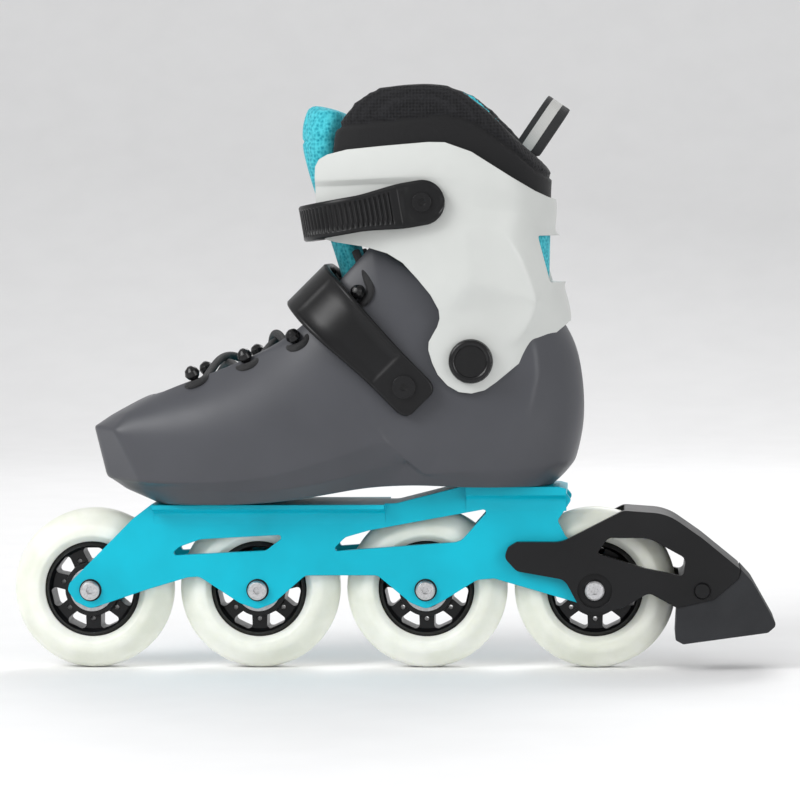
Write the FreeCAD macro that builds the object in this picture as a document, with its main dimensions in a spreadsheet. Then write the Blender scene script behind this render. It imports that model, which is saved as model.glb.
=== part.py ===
import FreeCAD, Part
import math
import os
import Sketcher

# Inline skate for the right foot, in millimetres. The origin is on the ground, midway between the
# first and the last wheel; +X points to the heel, +Z up, and the wheels roll in the plane Y = 0.

doc = FreeCAD.newDocument("inline_skate")
sheet = doc.addObject("Spreadsheet::Sheet", "Sizes")

DIMENSIONS = [
    ("wheel_radius", 40.0, "outer radius of a tyre"),
    ("tyre_width", 24.0, "width of a tyre"),
    ("axle_pitch", 83.5, "distance from one axle to the next"),
    ("hub_radius", 23.8, "outer radius of a hub"),
    ("hub_rim", 2.2, "thickness of the hub's outer ring"),
    ("hub_core", 14.0, "outer radius of the hub's bearing seat"),
    ("hub_width", 22.0, "width of a hub"),
    ("bearing_radius", 11.0, "outer radius of a 608 bearing"),
    ("bearing_width", 7.0, "width of a 608 bearing"),
    ("bearing_bore", 4.0, "radius of a 608 bearing's bore"),
    ("spacer_half", 5.0, "half length of the spacer between two bearings"),
    ("axle_radius", 3.97, "radius of an axle's barrel"),
    ("axle_head", 4.8, "radius of an axle's head"),
    ("plate_inner", 13.0, "half distance between the frame's plates"),
    ("plate_outer", 16.5, "half distance over the frame's plates"),
    ("deck_half", 26.0, "half width of the frame's decks"),
    ("deck_front_top", 83.0, "height of the front deck"),
    ("deck_rear_top", 91.3, "height of the rear deck"),
    ("deck_thickness", 2.2, "thickness of the decks"),
    ("pivot_x", 66.0, "cuff pivot, along X"),
    ("pivot_z", 154.1, "cuff pivot, height"),
    ("pivot_cap", 10.8, "radius of the cuff pivot's cap"),
    ("shell_wall", 3.5, "wall of the shell"),
    ("cuff_wall", 3.2, "wall of the cuff"),
    ("ankle_half", 36.5, "half width of the shell at the pivot"),
    ("strap_thickness", 3.0, "thickness of a strap"),
    ("instep_screw_x", 33.6, "instep strap screw, along X"),
    ("instep_screw_z", 141.9, "instep strap screw, height"),
    ("instep_width", 25.0, "width of the instep strap"),
    ("cuff_screw_x", 43.0, "cuff strap screw, along X"),
    ("cuff_screw_z", 231.3, "cuff strap screw, height"),
    ("cuff_strap_width", 21.0, "width of the cuff strap"),
    ("lace_radius", 2.0, "radius of the lace"),
]


class Size:
    """A number together with the spreadsheet expression that gives it."""

    def __init__(self, value, text):
        self.value = float(value)
        self.text = text

    def joined(self, other, sign, value):
        return Size(value, "(%s %s %s)" % (self.text, sign, as_size(other).text))

    def __add__(self, other):
        return self.joined(other, "+", self.value + as_size(other).value)

    def __sub__(self, other):
        return self.joined(other, "-", self.value - as_size(other).value)

    def __mul__(self, other):
        return self.joined(other, "*", self.value * as_size(other).value)

    def __truediv__(self, other):
        return self.joined(other, "/", self.value / as_size(other).value)

    def __neg__(self):
        return Size(-self.value, "(-1 * %s)" % self.text)


def as_size(number):
    if isinstance(number, Size):
        return number
    return Size(number, "(%s)" % round(number, 6))


class Sizes:
    """The driving dimensions by name: s.wheel_radius is a Size bound to its cell."""


s = Sizes()
for row, (alias, value, meaning) in enumerate(DIMENSIONS, start=1):
    sheet.set("A%d" % row, meaning)
    sheet.set("B%d" % row, str(value))
    sheet.setAlias("B%d" % row, alias)
    setattr(s, alias, Size(value, "Sizes.%s" % alias))
doc.recompute()

subparts = []


def bind(obj, prop, size):
    """Sets a property to a Size, or to a plain number."""
    if isinstance(size, Size):
        obj.setExpression(prop, size.text)
    else:
        obj.setExpression(prop, None)
        setattr(obj, prop, size)


def place(obj, x=0.0, y=0.0, z=0.0, axis=(0, 1, 0), angle=0.0):
    """Places a sub-part, with its position bound to the sheet."""
    values = [as_size(number) for number in (x, y, z)]
    base = FreeCAD.Vector(*[size.value for size in values])
    obj.Placement = FreeCAD.Placement(base, FreeCAD.Rotation(FreeCAD.Vector(*axis), angle))
    for letter, size in zip("xyz", values):
        if "Sizes." in size.text:
            obj.setExpression("Placement.Base." + letter, size.text)


def subpart(obj, label):
    obj.Label = label
    subparts.append(obj)
    return obj


def solid_feature(label, shape):
    feature = doc.addObject("Part::Feature", label)
    feature.Shape = shape
    return subpart(feature, label)


def new_body(label):
    return subpart(doc.addObject("PartDesign::Body", label), label)


def origin_plane(body, role):
    return next(item for item in body.Origin.OriginFeatures if item.Role == role)


def corner_arc(corner, before, after, radius):
    """The tangent points and the middle of the round at a corner."""
    one = (before - corner).normalize()
    two = (after - corner).normalize()
    half = math.acos(max(-1.0, min(1.0, one.dot(two)))) / 2
    reach = radius / math.tan(half)
    centre = corner + (one + two).normalize() * (radius / math.sin(half))
    middle = centre + (corner - centre).normalize() * radius
    return corner + one * reach, middle, corner + two * reach


def outline(body, role, corners, offset=0.0):
    """A closed sketch through corners (u, v) or (u, v, radius), each bound by its distances."""
    sketch = body.newObject("Sketcher::SketchObject", body.Label + "_sketch")
    sketch.AttachmentSupport = (origin_plane(body, role), [""])
    sketch.MapMode = "FlatFace"
    sketch.AttachmentOffset = FreeCAD.Placement(
        FreeCAD.Vector(0, 0, as_size(offset).value), FreeCAD.Rotation())
    if isinstance(offset, Size):
        sketch.setExpression("AttachmentOffset.Base.z", offset.text)
    sizes = [[as_size(number) for number in corner] for corner in corners]
    points = [FreeCAD.Vector(c[0].value, c[1].value, 0) for c in sizes]
    count = len(points)
    rounds = []
    for i, corner in enumerate(sizes):
        if len(corner) > 2:
            following = points[(i + 1) % count]
            rounds.append(corner_arc(points[i], points[i - 1], following, corner[2].value))
        else:
            rounds.append((points[i], None, points[i]))
    lines = []
    for i in range(count):
        segment = Part.LineSegment(rounds[i][2], rounds[(i + 1) % count][0])
        lines.append(sketch.addGeometry(segment))
    for i, corner in enumerate(sizes):
        arrive = lines[i - 1]
        leave = lines[i]
        if rounds[i][1] is None:
            sketch.addConstraint(Sketcher.Constraint("Coincident", arrive, 2, leave, 1))
            held = leave
        else:
            arc = sketch.addGeometry(Part.Arc(*rounds[i]))
            near = 1 if (sketch.getPoint(arc, 1) - rounds[i][0]).Length < 1e-6 else 2
            sketch.addConstraint(Sketcher.Constraint("Tangent", arrive, 2, arc, near))
            sketch.addConstraint(Sketcher.Constraint("Tangent", leave, 1, arc, 3 - near))
            index = sketch.addConstraint(Sketcher.Constraint("Radius", arc, corner[2].value))
            if "Sizes." in corner[2].text:
                sketch.setExpression("Constraints[%d]" % index, corner[2].text)
            held = sketch.addGeometry(Part.Point(points[i]), True)
            sketch.addConstraint(Sketcher.Constraint("PointOnObject", held, 1, arrive))
            sketch.addConstraint(Sketcher.Constraint("PointOnObject", held, 1, leave))
        for kind, size in (("DistanceX", corner[0]), ("DistanceY", corner[1])):
            rule = Sketcher.Constraint(kind, -1, 1, held, 1, size.value)
            index = sketch.addConstraint(rule)
            if "Sizes." in size.text:
                sketch.setExpression("Constraints[%d]" % index, size.text)
    return sketch


def circle(body, role, u, v, radius, offset=0.0):
    """A sketch of one circle, with its centre and radius bound."""
    sketch = body.newObject("Sketcher::SketchObject", body.Label + "_circle")
    sketch.AttachmentSupport = (origin_plane(body, role), [""])
    sketch.MapMode = "FlatFace"
    sketch.AttachmentOffset = FreeCAD.Placement(
        FreeCAD.Vector(0, 0, as_size(offset).value), FreeCAD.Rotation())
    u, v, radius = as_size(u), as_size(v), as_size(radius)
    centre = FreeCAD.Vector(u.value, v.value, 0)
    sketch.addGeometry(Part.Circle(centre, FreeCAD.Vector(0, 0, 1), radius.value))
    rules = [
        (Sketcher.Constraint("DistanceX", -1, 1, 0, 3, u.value), u),
        (Sketcher.Constraint("DistanceY", -1, 1, 0, 3, v.value), v),
        (Sketcher.Constraint("Radius", 0, radius.value), radius),
    ]
    for rule, size in rules:
        index = sketch.addConstraint(rule)
        if "Sizes." in size.text:
            sketch.setExpression("Constraints[%d]" % index, size.text)
    return sketch


def pad(body, sketch, length, side="Symmetric", reverse=False):
    feature = body.newObject("PartDesign::Pad", body.Label + "_pad")
    feature.Profile = sketch
    feature.SideType = side
    feature.Reversed = reverse
    bind(feature, "Length", length)
    return feature


def pocket(body, sketch, length, side="Symmetric", reverse=False):
    """A pocket that must take material away."""
    doc.recompute()
    before = body.Shape.Volume
    feature = body.newObject("PartDesign::Pocket", body.Label + "_pocket")
    feature.Profile = sketch
    feature.SideType = side
    feature.Reversed = reverse
    bind(feature, "Length", length)
    doc.recompute()
    if body.Shape.Volume >= before - 1e-6:
        raise RuntimeError("a pocket in %s cuts nothing" % body.Label)
    return feature


def turned(body, corners, role="YZ_Plane"):
    """A solid of revolution about Y: corners are (along Y, radius)."""
    sketch = outline(body, role, corners)
    feature = body.newObject("PartDesign::Revolution", body.Label + "_revolution")
    feature.Profile = sketch
    feature.ReferenceAxis = (sketch, ["H_Axis"])
    feature.Angle = 360
    return feature


def around(body, feature, count):
    """Repeats a feature about the body's Y axis."""
    pattern = body.newObject("PartDesign::PolarPattern", body.Label + "_pattern")
    pattern.Originals = [feature]
    pattern.Axis = (origin_plane(body, "Y_Axis"), [""])
    pattern.Angle = 360
    pattern.Occurrences = count
    body.Tip = pattern
    doc.recompute()
    return pattern


# ---- wheels -------------------------------------------------------------------------------------

SPOKES = 7


def tyre(label):
    """A cast tyre with a rounded running profile, poured round the hub's rim."""
    body = new_body(label)
    half = s.tyre_width / 2
    inner = s.hub_radius + 0.0
    turned(body, [
        (-half * 0.8, inner), (half * 0.8, inner), (half, inner + 3.0, 2.0),
        (half, s.wheel_radius - 9.0, 6.0), (half * 0.42, s.wheel_radius, 7.0),
        (-half * 0.42, s.wheel_radius, 7.0), (-half, s.wheel_radius - 9.0, 6.0),
        (-half, inner + 3.0, 2.0),
    ])
    return body


def hub(label):
    """A moulded hub: rim, bearing seat and a web with a window between each pair of spokes."""
    body = new_body(label)
    half = s.hub_width / 2
    web = 7.0
    turned(body, [
        (-half, s.hub_radius - s.hub_rim), (-web, s.hub_radius - s.hub_rim - 1.5),
        (-web, s.hub_core), (-half, s.hub_core - 0.5), (-half, s.bearing_radius),
        (-s.spacer_half, s.bearing_radius), (-s.spacer_half, s.bearing_radius - 2.0),
        (s.spacer_half, s.bearing_radius - 2.0), (s.spacer_half, s.bearing_radius),
        (half, s.bearing_radius), (half, s.hub_core - 0.5), (web, s.hub_core),
        (web, s.hub_radius - s.hub_rim - 1.5), (half, s.hub_radius - s.hub_rim),
        (half * 0.8, s.hub_radius), (-half * 0.8, s.hub_radius),
    ])
    window = outline(body, "XZ_Plane", [
        (-5.9, 20.5, 1.8), (-2.3, 13.5, 1.4), (2.3, 13.5, 1.4), (5.9, 20.5, 1.8),
    ])
    cut = pocket(body, window, 40.0)
    around(body, cut, SPOKES)
    half_step = math.pi / SPOKES
    drill = circle(body, "XZ_Plane", 15.2 * math.sin(half_step), 15.2 * math.cos(half_step), 1.1)
    hole = pocket(body, drill, 40.0)
    around(body, hole, SPOKES)
    return body


def bearing_balls(count, radius, pitch, height):
    """One bearing's balls, as spheres round the Y axis."""
    balls = []
    for i in range(count):
        angle = 2 * math.pi * i / count
        centre = FreeCAD.Vector(pitch * math.cos(angle), height, pitch * math.sin(angle))
        balls.append(Part.makeSphere(radius, centre))
    return balls


def ring_section(inner, outer, low, high):
    """A plain ring about the Y axis."""
    start = FreeCAD.Vector(0, low, 0)
    along = FreeCAD.Vector(0, 1, 0)
    whole = Part.makeCylinder(outer, high - low, start, along)
    return whole.cut(Part.makeCylinder(inner, high - low, start, along))


def bearing_outer(label):
    """Both bearings' outer races with their balls, a group of solids that turns with the hub."""
    inner, outer = 9.2, s.bearing_radius.value
    width = s.bearing_width.value
    solids = []
    for side in (-1, 1):
        middle = side * (s.spacer_half.value + width / 2)
        ring = ring_section(inner, outer, middle - width / 2, middle + width / 2)
        solids.append(ring)
        solids += bearing_balls(7, 1.4, inner - 1.4, middle)
    feature = doc.addObject("Part::Feature", label)
    feature.Shape = Part.makeCompound(solids)
    return subpart(feature, label)


def bearing_inner(label):
    """Both bearings' inner races, clamped on the axle."""
    width = s.bearing_width.value
    rings = []
    for side in (-1, 1):
        middle = side * (s.spacer_half.value + width / 2)
        low, high = middle - width / 2, middle + width / 2
        rings.append(ring_section(s.bearing_bore.value, 6.3, low, high))
    feature = doc.addObject("Part::Feature", label)
    feature.Shape = Part.makeCompound(rings)
    return subpart(feature, label)


def bearing_spacer(label):
    body = new_body(label)
    end = s.spacer_half
    bore = s.bearing_bore
    turned(body, [(-end, bore), (end, bore), (end, 5.6), (-end, 5.6)])
    return body


def axle(label, seat):
    """An axle bolt with a head at each end, seated on faces at +/- seat."""
    body = new_body(label)
    turned(body, [
        (-seat - 3.0, 0.0), (seat + 3.0, 0.0), (seat + 3.0, s.axle_head - 0.8),
        (seat + 2.2, s.axle_head), (seat, s.axle_head), (seat, s.axle_radius),
        (-seat, s.axle_radius), (-seat, s.axle_head),
        (-seat - 2.2, s.axle_head), (-seat - 3.0, s.axle_head - 0.8),
    ])
    for sign in (-1.0, 1.0):
        recess = outline(body, "XZ_Plane", [
            (2.0 * math.cos(math.radians(60 * i)), 2.0 * math.sin(math.radians(60 * i)))
            for i in range(6)
        ], offset=(seat + 3.0) * sign)
        pocket(body, recess, 2.4, "One side", sign < 0)
    return body


for number in range(4):
    axle_x = s.axle_pitch * (number - 1.5)
    pieces = [
        tyre("tyre_%d" % (number + 1)),
        hub("hub_%d" % (number + 1)),
        bearing_outer("bearing_outer_%d" % (number + 1)),
        bearing_inner("bearing_inner_%d" % (number + 1)),
        bearing_spacer("bearing_spacer_%d" % (number + 1)),
        axle("axle_%d" % (number + 1), s.plate_outer + (3.0 if number == 3 else 0.0)),
    ]
    for piece in pieces:
        place(piece, x=axle_x, z=s.wheel_radius)

# ---- frame and brake ----------------------------------------------------------------------------

FRAME_OUTLINE = [
    (-94.0, s.deck_front_top, 2.0), (-103.6, 75.7, 12.0), (-135.7, 43.6, 4.0), (-136.7, 40.0, 3.0),
    (-132.9, 34.3, 4.0), (-125.3, 30.7, 6.0), (-97.9, 40.0, 12.0), (-76.4, 46.4, 8.0),
    (-70.7, 46.7, 5.0), (-50.7, 33.6, 8.0), (-41.9, 30.4, 5.0), (-33.6, 33.6, 8.0),
    (-17.9, 47.3, 5.0), (17.9, 47.3, 5.0), (34.3, 33.6, 8.0), (42.0, 30.6, 5.0),
    (49.3, 34.0, 6.0), (67.1, 45.0, 8.0), (75.7, 45.7, 5.0), (115.7, 34.0, 10.0),
    (125.5, 30.5, 5.0), (134.5, 35.0, 5.0), (133.0, 47.0, 6.0), (111.0, 66.5, 5.0),
    (107.1, 74.3, 2.0), (114.0, 84.6, 2.0), (108.6, s.deck_rear_top, 1.5),
    (60.0, s.deck_rear_top, 10.0), (27.0, s.deck_front_top, 10.0),
]
FRAME_SLOTS = [
    [(-85.5, 57.2, 1.2), (-80.7, 61.5, 3.0), (-70.0, 65.3, 8.0), (-27.0, 67.6, 1.3),
     (-37.5, 59.6, 3.0)],
    [(-5.0, 59.2, 1.2), (2.1, 66.2, 5.0), (14.0, 69.6, 10.0), (74.0, 80.5, 1.3),
     (59.0, 63.8, 8.0)],
]
SCREW_HOLE = 2.6
MOUNT_BOLTS = [(-80.0, s.deck_front_top), (85.0, s.deck_rear_top)]
BOSS_RADIUS = 5.6
BOLT_RADIUS = 3.0
BOLT_PLAY = 0.05
BOLT_REACH = 3.6
BOLT_HEAD_RADIUS = 5.4
BOLT_HEAD_HEIGHT = 2.6
WASHER_THICKNESS = 1.0


def flare(body, start, length, under, reach):
    """The concave web that carries each side plate out to the edge of a deck."""
    for sign in (-1.0, 1.0):
        section = outline(body, "YZ_Plane", [
            ((s.plate_outer - 1.0) * sign, under - 8.0), (s.plate_outer * sign, under - 8.0),
            ((s.plate_outer + 0.8) * sign, under - 2.2, 4.0), (reach * sign, under),
            (reach * sign, under + 0.4), ((s.plate_outer - 1.0) * sign, under + 0.4),
        ], offset=start)
        pad(body, section, length, "One side")


def frame_section():
    """Two side plates, the decks that join them, slots, axle bosses and bolt holes."""
    body = new_body("frame")
    pad(body, outline(body, "XZ_Plane", FRAME_OUTLINE), s.plate_outer * 2)
    front_under = s.deck_front_top - s.deck_thickness
    rear_under = s.deck_rear_top - s.deck_thickness
    channel = outline(body, "XZ_Plane", [
        (-150.0, 0.0), (150.0, 0.0), (150.0, rear_under), (60.6, rear_under),
        (27.6, front_under), (-150.0, front_under),
    ])
    pocket(body, channel, s.plate_inner * 2)
    front_deck = outline(body, "XZ_Plane", [
        (-93.0, front_under), (22.0, front_under), (22.0, s.deck_front_top),
        (-93.0, s.deck_front_top),
    ])
    pad(body, front_deck, s.deck_half * 2)
    rear_deck = outline(body, "XZ_Plane", [
        (62.0, rear_under - 2.0), (111.5, rear_under - 2.0), (111.5, s.deck_rear_top - 1.0),
        (108.0, s.deck_rear_top), (62.0, s.deck_rear_top),
    ])
    pad(body, rear_deck, s.deck_half * 1.6)
    flare(body, -93.0, 115.0, front_under, s.deck_half)
    flare(body, 62.0, 49.5, rear_under - 2.0, s.deck_half * 0.8)
    doc.recompute()
    for slot in FRAME_SLOTS:
        pocket(body, outline(body, "XZ_Plane", slot), s.plate_outer * 2 + 4.0)
    for number in range(4):
        axle_x = s.axle_pitch * (number - 1.5)
        for sign in (-1.0, 1.0):
            inner_face = (s.spacer_half + s.bearing_width) * sign
            boss = circle(body, "XZ_Plane", axle_x, s.wheel_radius, BOSS_RADIUS, inner_face)
            height = s.plate_inner - s.spacer_half - s.bearing_width
            pad(body, boss, height, "One side", sign < 0)
        bore = circle(body, "XZ_Plane", axle_x, s.wheel_radius, s.axle_radius + 0.03)
        pocket(body, bore, s.plate_outer * 2 + 4.0)
    for bolt_x, top in MOUNT_BOLTS:
        pocket(body, circle(body, "XY_Plane", bolt_x, 0.0, 3.1, 70.0), 60.0)
    return body


def deck_underside(bolt_x, top):
    """Height of the face that a mounting bolt's washer bears on."""
    return top.value - s.deck_thickness.value - (2.0 if bolt_x > 0 else 0.0)


def frame_bolts():
    """Two screws from under the decks up into the boot, each with a washer."""
    solids = []
    for bolt_x, top in MOUNT_BOLTS:
        under = deck_underside(bolt_x, top)
        head_foot = FreeCAD.Vector(bolt_x, 0, under - WASHER_THICKNESS - BOLT_HEAD_HEIGHT)
        shank_foot = FreeCAD.Vector(bolt_x, 0, under - WASHER_THICKNESS)
        reach = top.value + BOLT_REACH - shank_foot.z
        head = Part.makeCylinder(BOLT_HEAD_RADIUS, BOLT_HEAD_HEIGHT, head_foot)
        shank = Part.makeCylinder(BOLT_RADIUS, reach, shank_foot)
        recess = Part.makeCylinder(2.2, 1.6, head_foot)
        solids.append(head.fuse(shank).cut(recess).removeSplitter())
    return solid_feature("frame_bolts", Part.makeCompound(solids))


def frame_washers():
    """A washer under each mounting bolt's head."""
    solids = []
    for bolt_x, top in MOUNT_BOLTS:
        foot = FreeCAD.Vector(bolt_x, 0, deck_underside(bolt_x, top) - WASHER_THICKNESS)
        ring = Part.makeCylinder(6.2, WASHER_THICKNESS, foot)
        solids.append(ring.cut(Part.makeCylinder(BOLT_RADIUS + BOLT_PLAY, WASHER_THICKNESS, foot)))
    return solid_feature("frame_washers", Part.makeCompound(solids))


ARM_HALF = s.plate_outer + 5.0
ARM_SEAT = s.plate_outer + 3.0
BRAKE_ARM_OUTLINE = [
    (82.6, 61.4, 2.5), (87.0, 64.1, 3.0), (109.0, 64.0, 15.0), (139.5, 79.6, 6.0),
    (161.0, 78.0, 25.0), (178.0, 66.0, 40.0), (196.8, 50.5, 1.2), (195.7, 46.0),
    (183.6, 35.7, 6.0), (165.5, 31.6, 1.5), (152.0, 39.0, 4.0), (138.6, 31.4, 10.0),
    (130.0, 29.5, 6.0), (119.0, 29.6, 5.0), (110.5, 45.5, 6.0), (87.0, 49.7, 5.0),
    (80.8, 56.4, 4.0),
]
BRAKE_ARM_WINDOW = [
    (126.5, 58.5, 1.0), (132.0, 66.2, 4.0), (152.0, 66.0, 14.0), (170.0, 56.0, 4.0),
    (169.0, 47.0, 2.5), (150.0, 51.0, 20.0), (128.0, 58.0, 1.0),
]
TENON = [(172.0, 28.0), (184.0, 30.0), (184.0, 49.0, 2.0), (172.0, 46.0, 2.0)]
PAD_SCREW = (178.0, 40.0)


def brake_arm():
    """The fork over the rear wheel, closed behind it by a bridge that carries the pad."""
    body = new_body("brake_arm")
    rear_axle = s.axle_pitch * 1.5
    pad(body, outline(body, "XZ_Plane", BRAKE_ARM_OUTLINE), ARM_HALF * 2)
    gap = s.plate_outer * 2 + 0.1
    wheel_room = circle(body, "XZ_Plane", rear_axle, s.wheel_radius, s.wheel_radius + 2.0)
    pocket(body, wheel_room, gap)
    hook_room = outline(body, "XZ_Plane", [(70.0, 20.0), (121.0, 20.0), (121.0, 90.0), (70.0, 90.0)])
    pocket(body, hook_room, gap)
    pocket(body, outline(body, "XZ_Plane", BRAKE_ARM_WINDOW), ARM_HALF * 2 + 2.0)
    pocket(body, outline(body, "XZ_Plane", TENON), 16.2)
    bore = circle(body, "XZ_Plane", rear_axle, s.wheel_radius, s.axle_radius + 0.03)
    pocket(body, bore, ARM_HALF * 2 + 2.0)
    for sign in (-1.0, 1.0):
        seat = circle(body, "XZ_Plane", rear_axle, s.wheel_radius, 8.5, ARM_HALF * sign)
        pocket(body, seat, ARM_HALF - ARM_SEAT, "One side", sign < 0)
    screw = circle(body, "XZ_Plane", PAD_SCREW[0], PAD_SCREW[1], SCREW_HOLE)
    pocket(body, screw, ARM_HALF * 2 + 2.0)
    return body


def brake_pad():
    """The rubber block, with a tenon that stands up into the arm."""
    body = new_body("brake_pad")
    block = outline(body, "XZ_Plane", [
        (165.6, 31.6), (164.7, 15.7, 1.5), (168.6, 13.6, 2.0), (210.0, 19.3, 2.0),
        (214.4, 23.0, 2.5), (202.6, 44.3, 12.0), (197.2, 50.3), (195.75, 46.0),
        (183.6, 35.7, 6.0),
    ])
    pad(body, block, ARM_HALF * 2 - 1.0)
    pad(body, outline(body, "XZ_Plane", TENON), 16.0)
    pocket(body, circle(body, "XZ_Plane", PAD_SCREW[0], PAD_SCREW[1], SCREW_HOLE), 60.0)
    return body


def brake_pad_screw():
    body = new_body("brake_pad_screw")
    seat = ARM_HALF
    turned(body, [
        (-seat - 2.0, 0.0), (seat + 2.0, 0.0), (seat + 2.0, 3.4), (seat, 4.2), (seat, 2.55),
        (-seat, 2.55), (-seat, 4.2), (-seat - 2.0, 3.4),
    ])
    place(body, x=PAD_SCREW[0], z=PAD_SCREW[1])
    return body


frame_section()
frame_bolts()
frame_washers()
brake_arm()
brake_pad()
brake_pad_screw()

# ---- boot: hard pieces --------------------------------------------------------------------------

# Level slices of the boot: height, front end, rear end, half width of the forefoot and of the heel.
SHELL_SLICES = [
    (83.2, -95.0, 108.0, 37.0, 30.0), (92.0, -108.0, 112.0, 43.0, 33.5),
    (100.0, -121.0, 116.0, 47.0, 36.0), (121.0, -125.0, 124.5, 50.0, 38.5),
    (129.0, -112.0, 125.0, 49.0, 38.8), (140.0, -87.0, 123.0, 46.5, 38.5),
    (152.0, -54.0, 120.0, 42.6, 37.4), (165.0, -28.5, 116.0, 38.8, 36.0),
    (173.0, -19.0, 113.5, 37.0, 35.2), (203.0, 6.0, 108.0, 34.6, 33.8),
    (216.0, 17.0, 105.6, 33.6, 33.2),
]
CUFF_SLICES = [
    (136.0, -10.0, 119.8, 45.4, 44.4), (156.0, -12.0, 119.3, 43.9, 43.6),
    (175.6, -14.0, 117.4, 43.0, 43.2), (192.0, -16.0, 113.6, 43.3, 43.2),
    (215.0, -17.0, 110.4, 43.9, 43.8), (232.0, -18.0, 111.0, 44.5, 44.5),
    (263.0, -18.0, 112.0, 45.0, 45.0),
]
FLOOR_LINE = [(-140.0, 88.0), (-30.0, 88.0), (0.0, 96.0), (50.0, 98.5), (140.0, 98.5)]
CUFF_OUTLINE = [
    (-11.2, 244.0), (-10.3, 249.0), (-4.2, 255.0), (24.4, 258.4), (52.2, 260.4), (66.7, 255.6),
    (86.7, 242.8), (103.3, 233.3), (111.5, 229.4), (110.6, 215.0), (110.6, 192.0),
    (113.5, 190.6), (117.5, 175.6), (113.5, 172.4), (77.8, 144.4), (66.1, 138.7),
    (52.2, 146.1), (44.4, 161.1), (51.3, 177.2), (46.7, 186.7), (27.0, 207.0),
    (0.0, 211.7), (-11.0, 214.4),
]
LINER_TOP = [
    (-20.0, 100.0), (2.6, 240.0), (2.6, 256.0), (3.3, 266.7), (6.7, 276.1), (12.2, 282.8),
    (22.2, 287.8), (40.0, 289.2), (61.1, 286.7), (77.8, 275.6), (88.9, 264.4), (101.1, 255.6),
    (104.5, 247.8), (104.5, 236.0), (125.0, 226.0), (125.0, 100.0),
]
SLICE_POINTS = 20
BLUNTNESS = 2.5


def slice_wire(level, inset):
    """A closed, egg-shaped curve at one height, drawn in by an inset."""
    z, front, rear, fore, heel = level
    front += inset
    rear -= inset
    fore -= inset
    heel -= inset
    middle = (front + rear) / 2
    reach = (rear - front) / 2
    points = []
    for i in range(SLICE_POINTS):
        turn = 2 * math.pi * (i + 0.5) / SLICE_POINTS
        cosine, sine = math.cos(turn), math.sin(turn)
        u = math.copysign(abs(cosine) ** (2 / BLUNTNESS), cosine)
        v = math.copysign(abs(sine) ** (2 / BLUNTNESS), sine)
        half = fore + (heel - fore) * (u + 1) / 2
        points.append(FreeCAD.Vector(middle + reach * u, half * v, z))
    curve = Part.BSplineCurve()
    curve.interpolate(points, PeriodicFlag=True)
    return Part.Wire([curve.toShape()])


def slices_solid(levels, inset):
    """A solid through the level slices."""
    return Part.makeLoft([slice_wire(level, inset) for level in levels], True, True)


def side_prism(points, half=90.0):
    """A prism across Y whose side view is a polygon of (x, z)."""
    corners = [FreeCAD.Vector(x, -half, z) for x, z in points]
    face = Part.Face(Part.makePolygon(corners + corners[:1]))
    return face.extrude(FreeCAD.Vector(0, 2 * half, 0))


def block(low, high):
    size = [b - a for a, b in zip(low, high)]
    return Part.makeBox(size[0], size[1], size[2], FreeCAD.Vector(*low))


def across(radius, x, z, half=90.0):
    """A cylinder across Y."""
    start = FreeCAD.Vector(x, -half, z)
    return Part.makeCylinder(radius, 2 * half, start, FreeCAD.Vector(0, 1, 0))


def floor_prism(rise):
    """Everything under the foot: the floor line raised by so much, and the space below it."""
    line = [(x, z + rise) for x, z in FLOOR_LINE]
    return side_prism([(-140.0, 60.0)] + line + [(140.0, 60.0)])


PIVOT_X, PIVOT_Z = s.pivot_x.value, s.pivot_z.value
SHELL_WALL, CUFF_WALL = s.shell_wall.value, s.cuff_wall.value
PIVOT_HOLE = 6.0
THROAT_HALF = 23.0
UPPER_THROAT_HALF = 26.0
CUFF_CLEAR_RADIUS = 45.6
THROAT = [(-89.0, 132.0), (-89.0, 150.0), (-30.0, 215.0), (60.0, 215.0), (60.0, 170.0)]
UPPER_THROAT = [(-32.0, 148.0), (-32.0, 215.0), (60.0, 215.0), (60.0, 172.0)]


def shell():
    """The moulded lower boot, open along the instep and at the ankle."""
    solid = slices_solid(SHELL_SLICES, 0.0)
    arch = side_prism([(-30.0, 70.0), (-30.0, 83.2), (-5.0, 90.3), (24.0, 92.6), (44.0, 92.8),
                       (56.0, s.deck_rear_top.value), (130.0, s.deck_rear_top.value), (130.0, 70.0)])
    solid = solid.cut(arch)
    cavity = slices_solid(SHELL_SLICES, SHELL_WALL).cut(floor_prism(0.0))
    solid = solid.cut(cavity)
    top = side_prism([(-30.0, 230.0), (18.0, 214.0), (27.0, 209.0), (33.0, 198.5), (66.0, 194.0),
                      (130.0, 194.0), (130.0, 230.0)])
    solid = solid.cut(top)
    solid = solid.cut(side_prism(THROAT, THROAT_HALF))
    solid = solid.cut(side_prism(UPPER_THROAT, UPPER_THROAT_HALF))
    solid = solid.cut(block((-20.0, -THROAT_HALF, 190.0), (130.0, THROAT_HALF, 230.0)))
    behind = side_prism([(77.0, 143.2), (112.8, 171.3), (130.0, 171.3), (130.0, 215.0),
                         (60.0, 215.0)])
    behind = behind.cut(across(CUFF_CLEAR_RADIUS, PIVOT_X, PIVOT_Z))
    solid = solid.cut(behind)
    solid = solid.cut(across(PIVOT_HOLE, PIVOT_X, PIVOT_Z))
    solid = solid.cut(across(SCREW_HOLE, s.instep_screw_x.value, s.instep_screw_z.value))
    for bolt_x, height in MOUNT_BOLTS:
        foot = FreeCAD.Vector(bolt_x, 0, height.value - 0.1)
        solid = solid.cut(Part.makeCylinder(BOLT_RADIUS + BOLT_PLAY, BOLT_REACH + 0.7, foot))
    return solid_feature("shell", solid)


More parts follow.
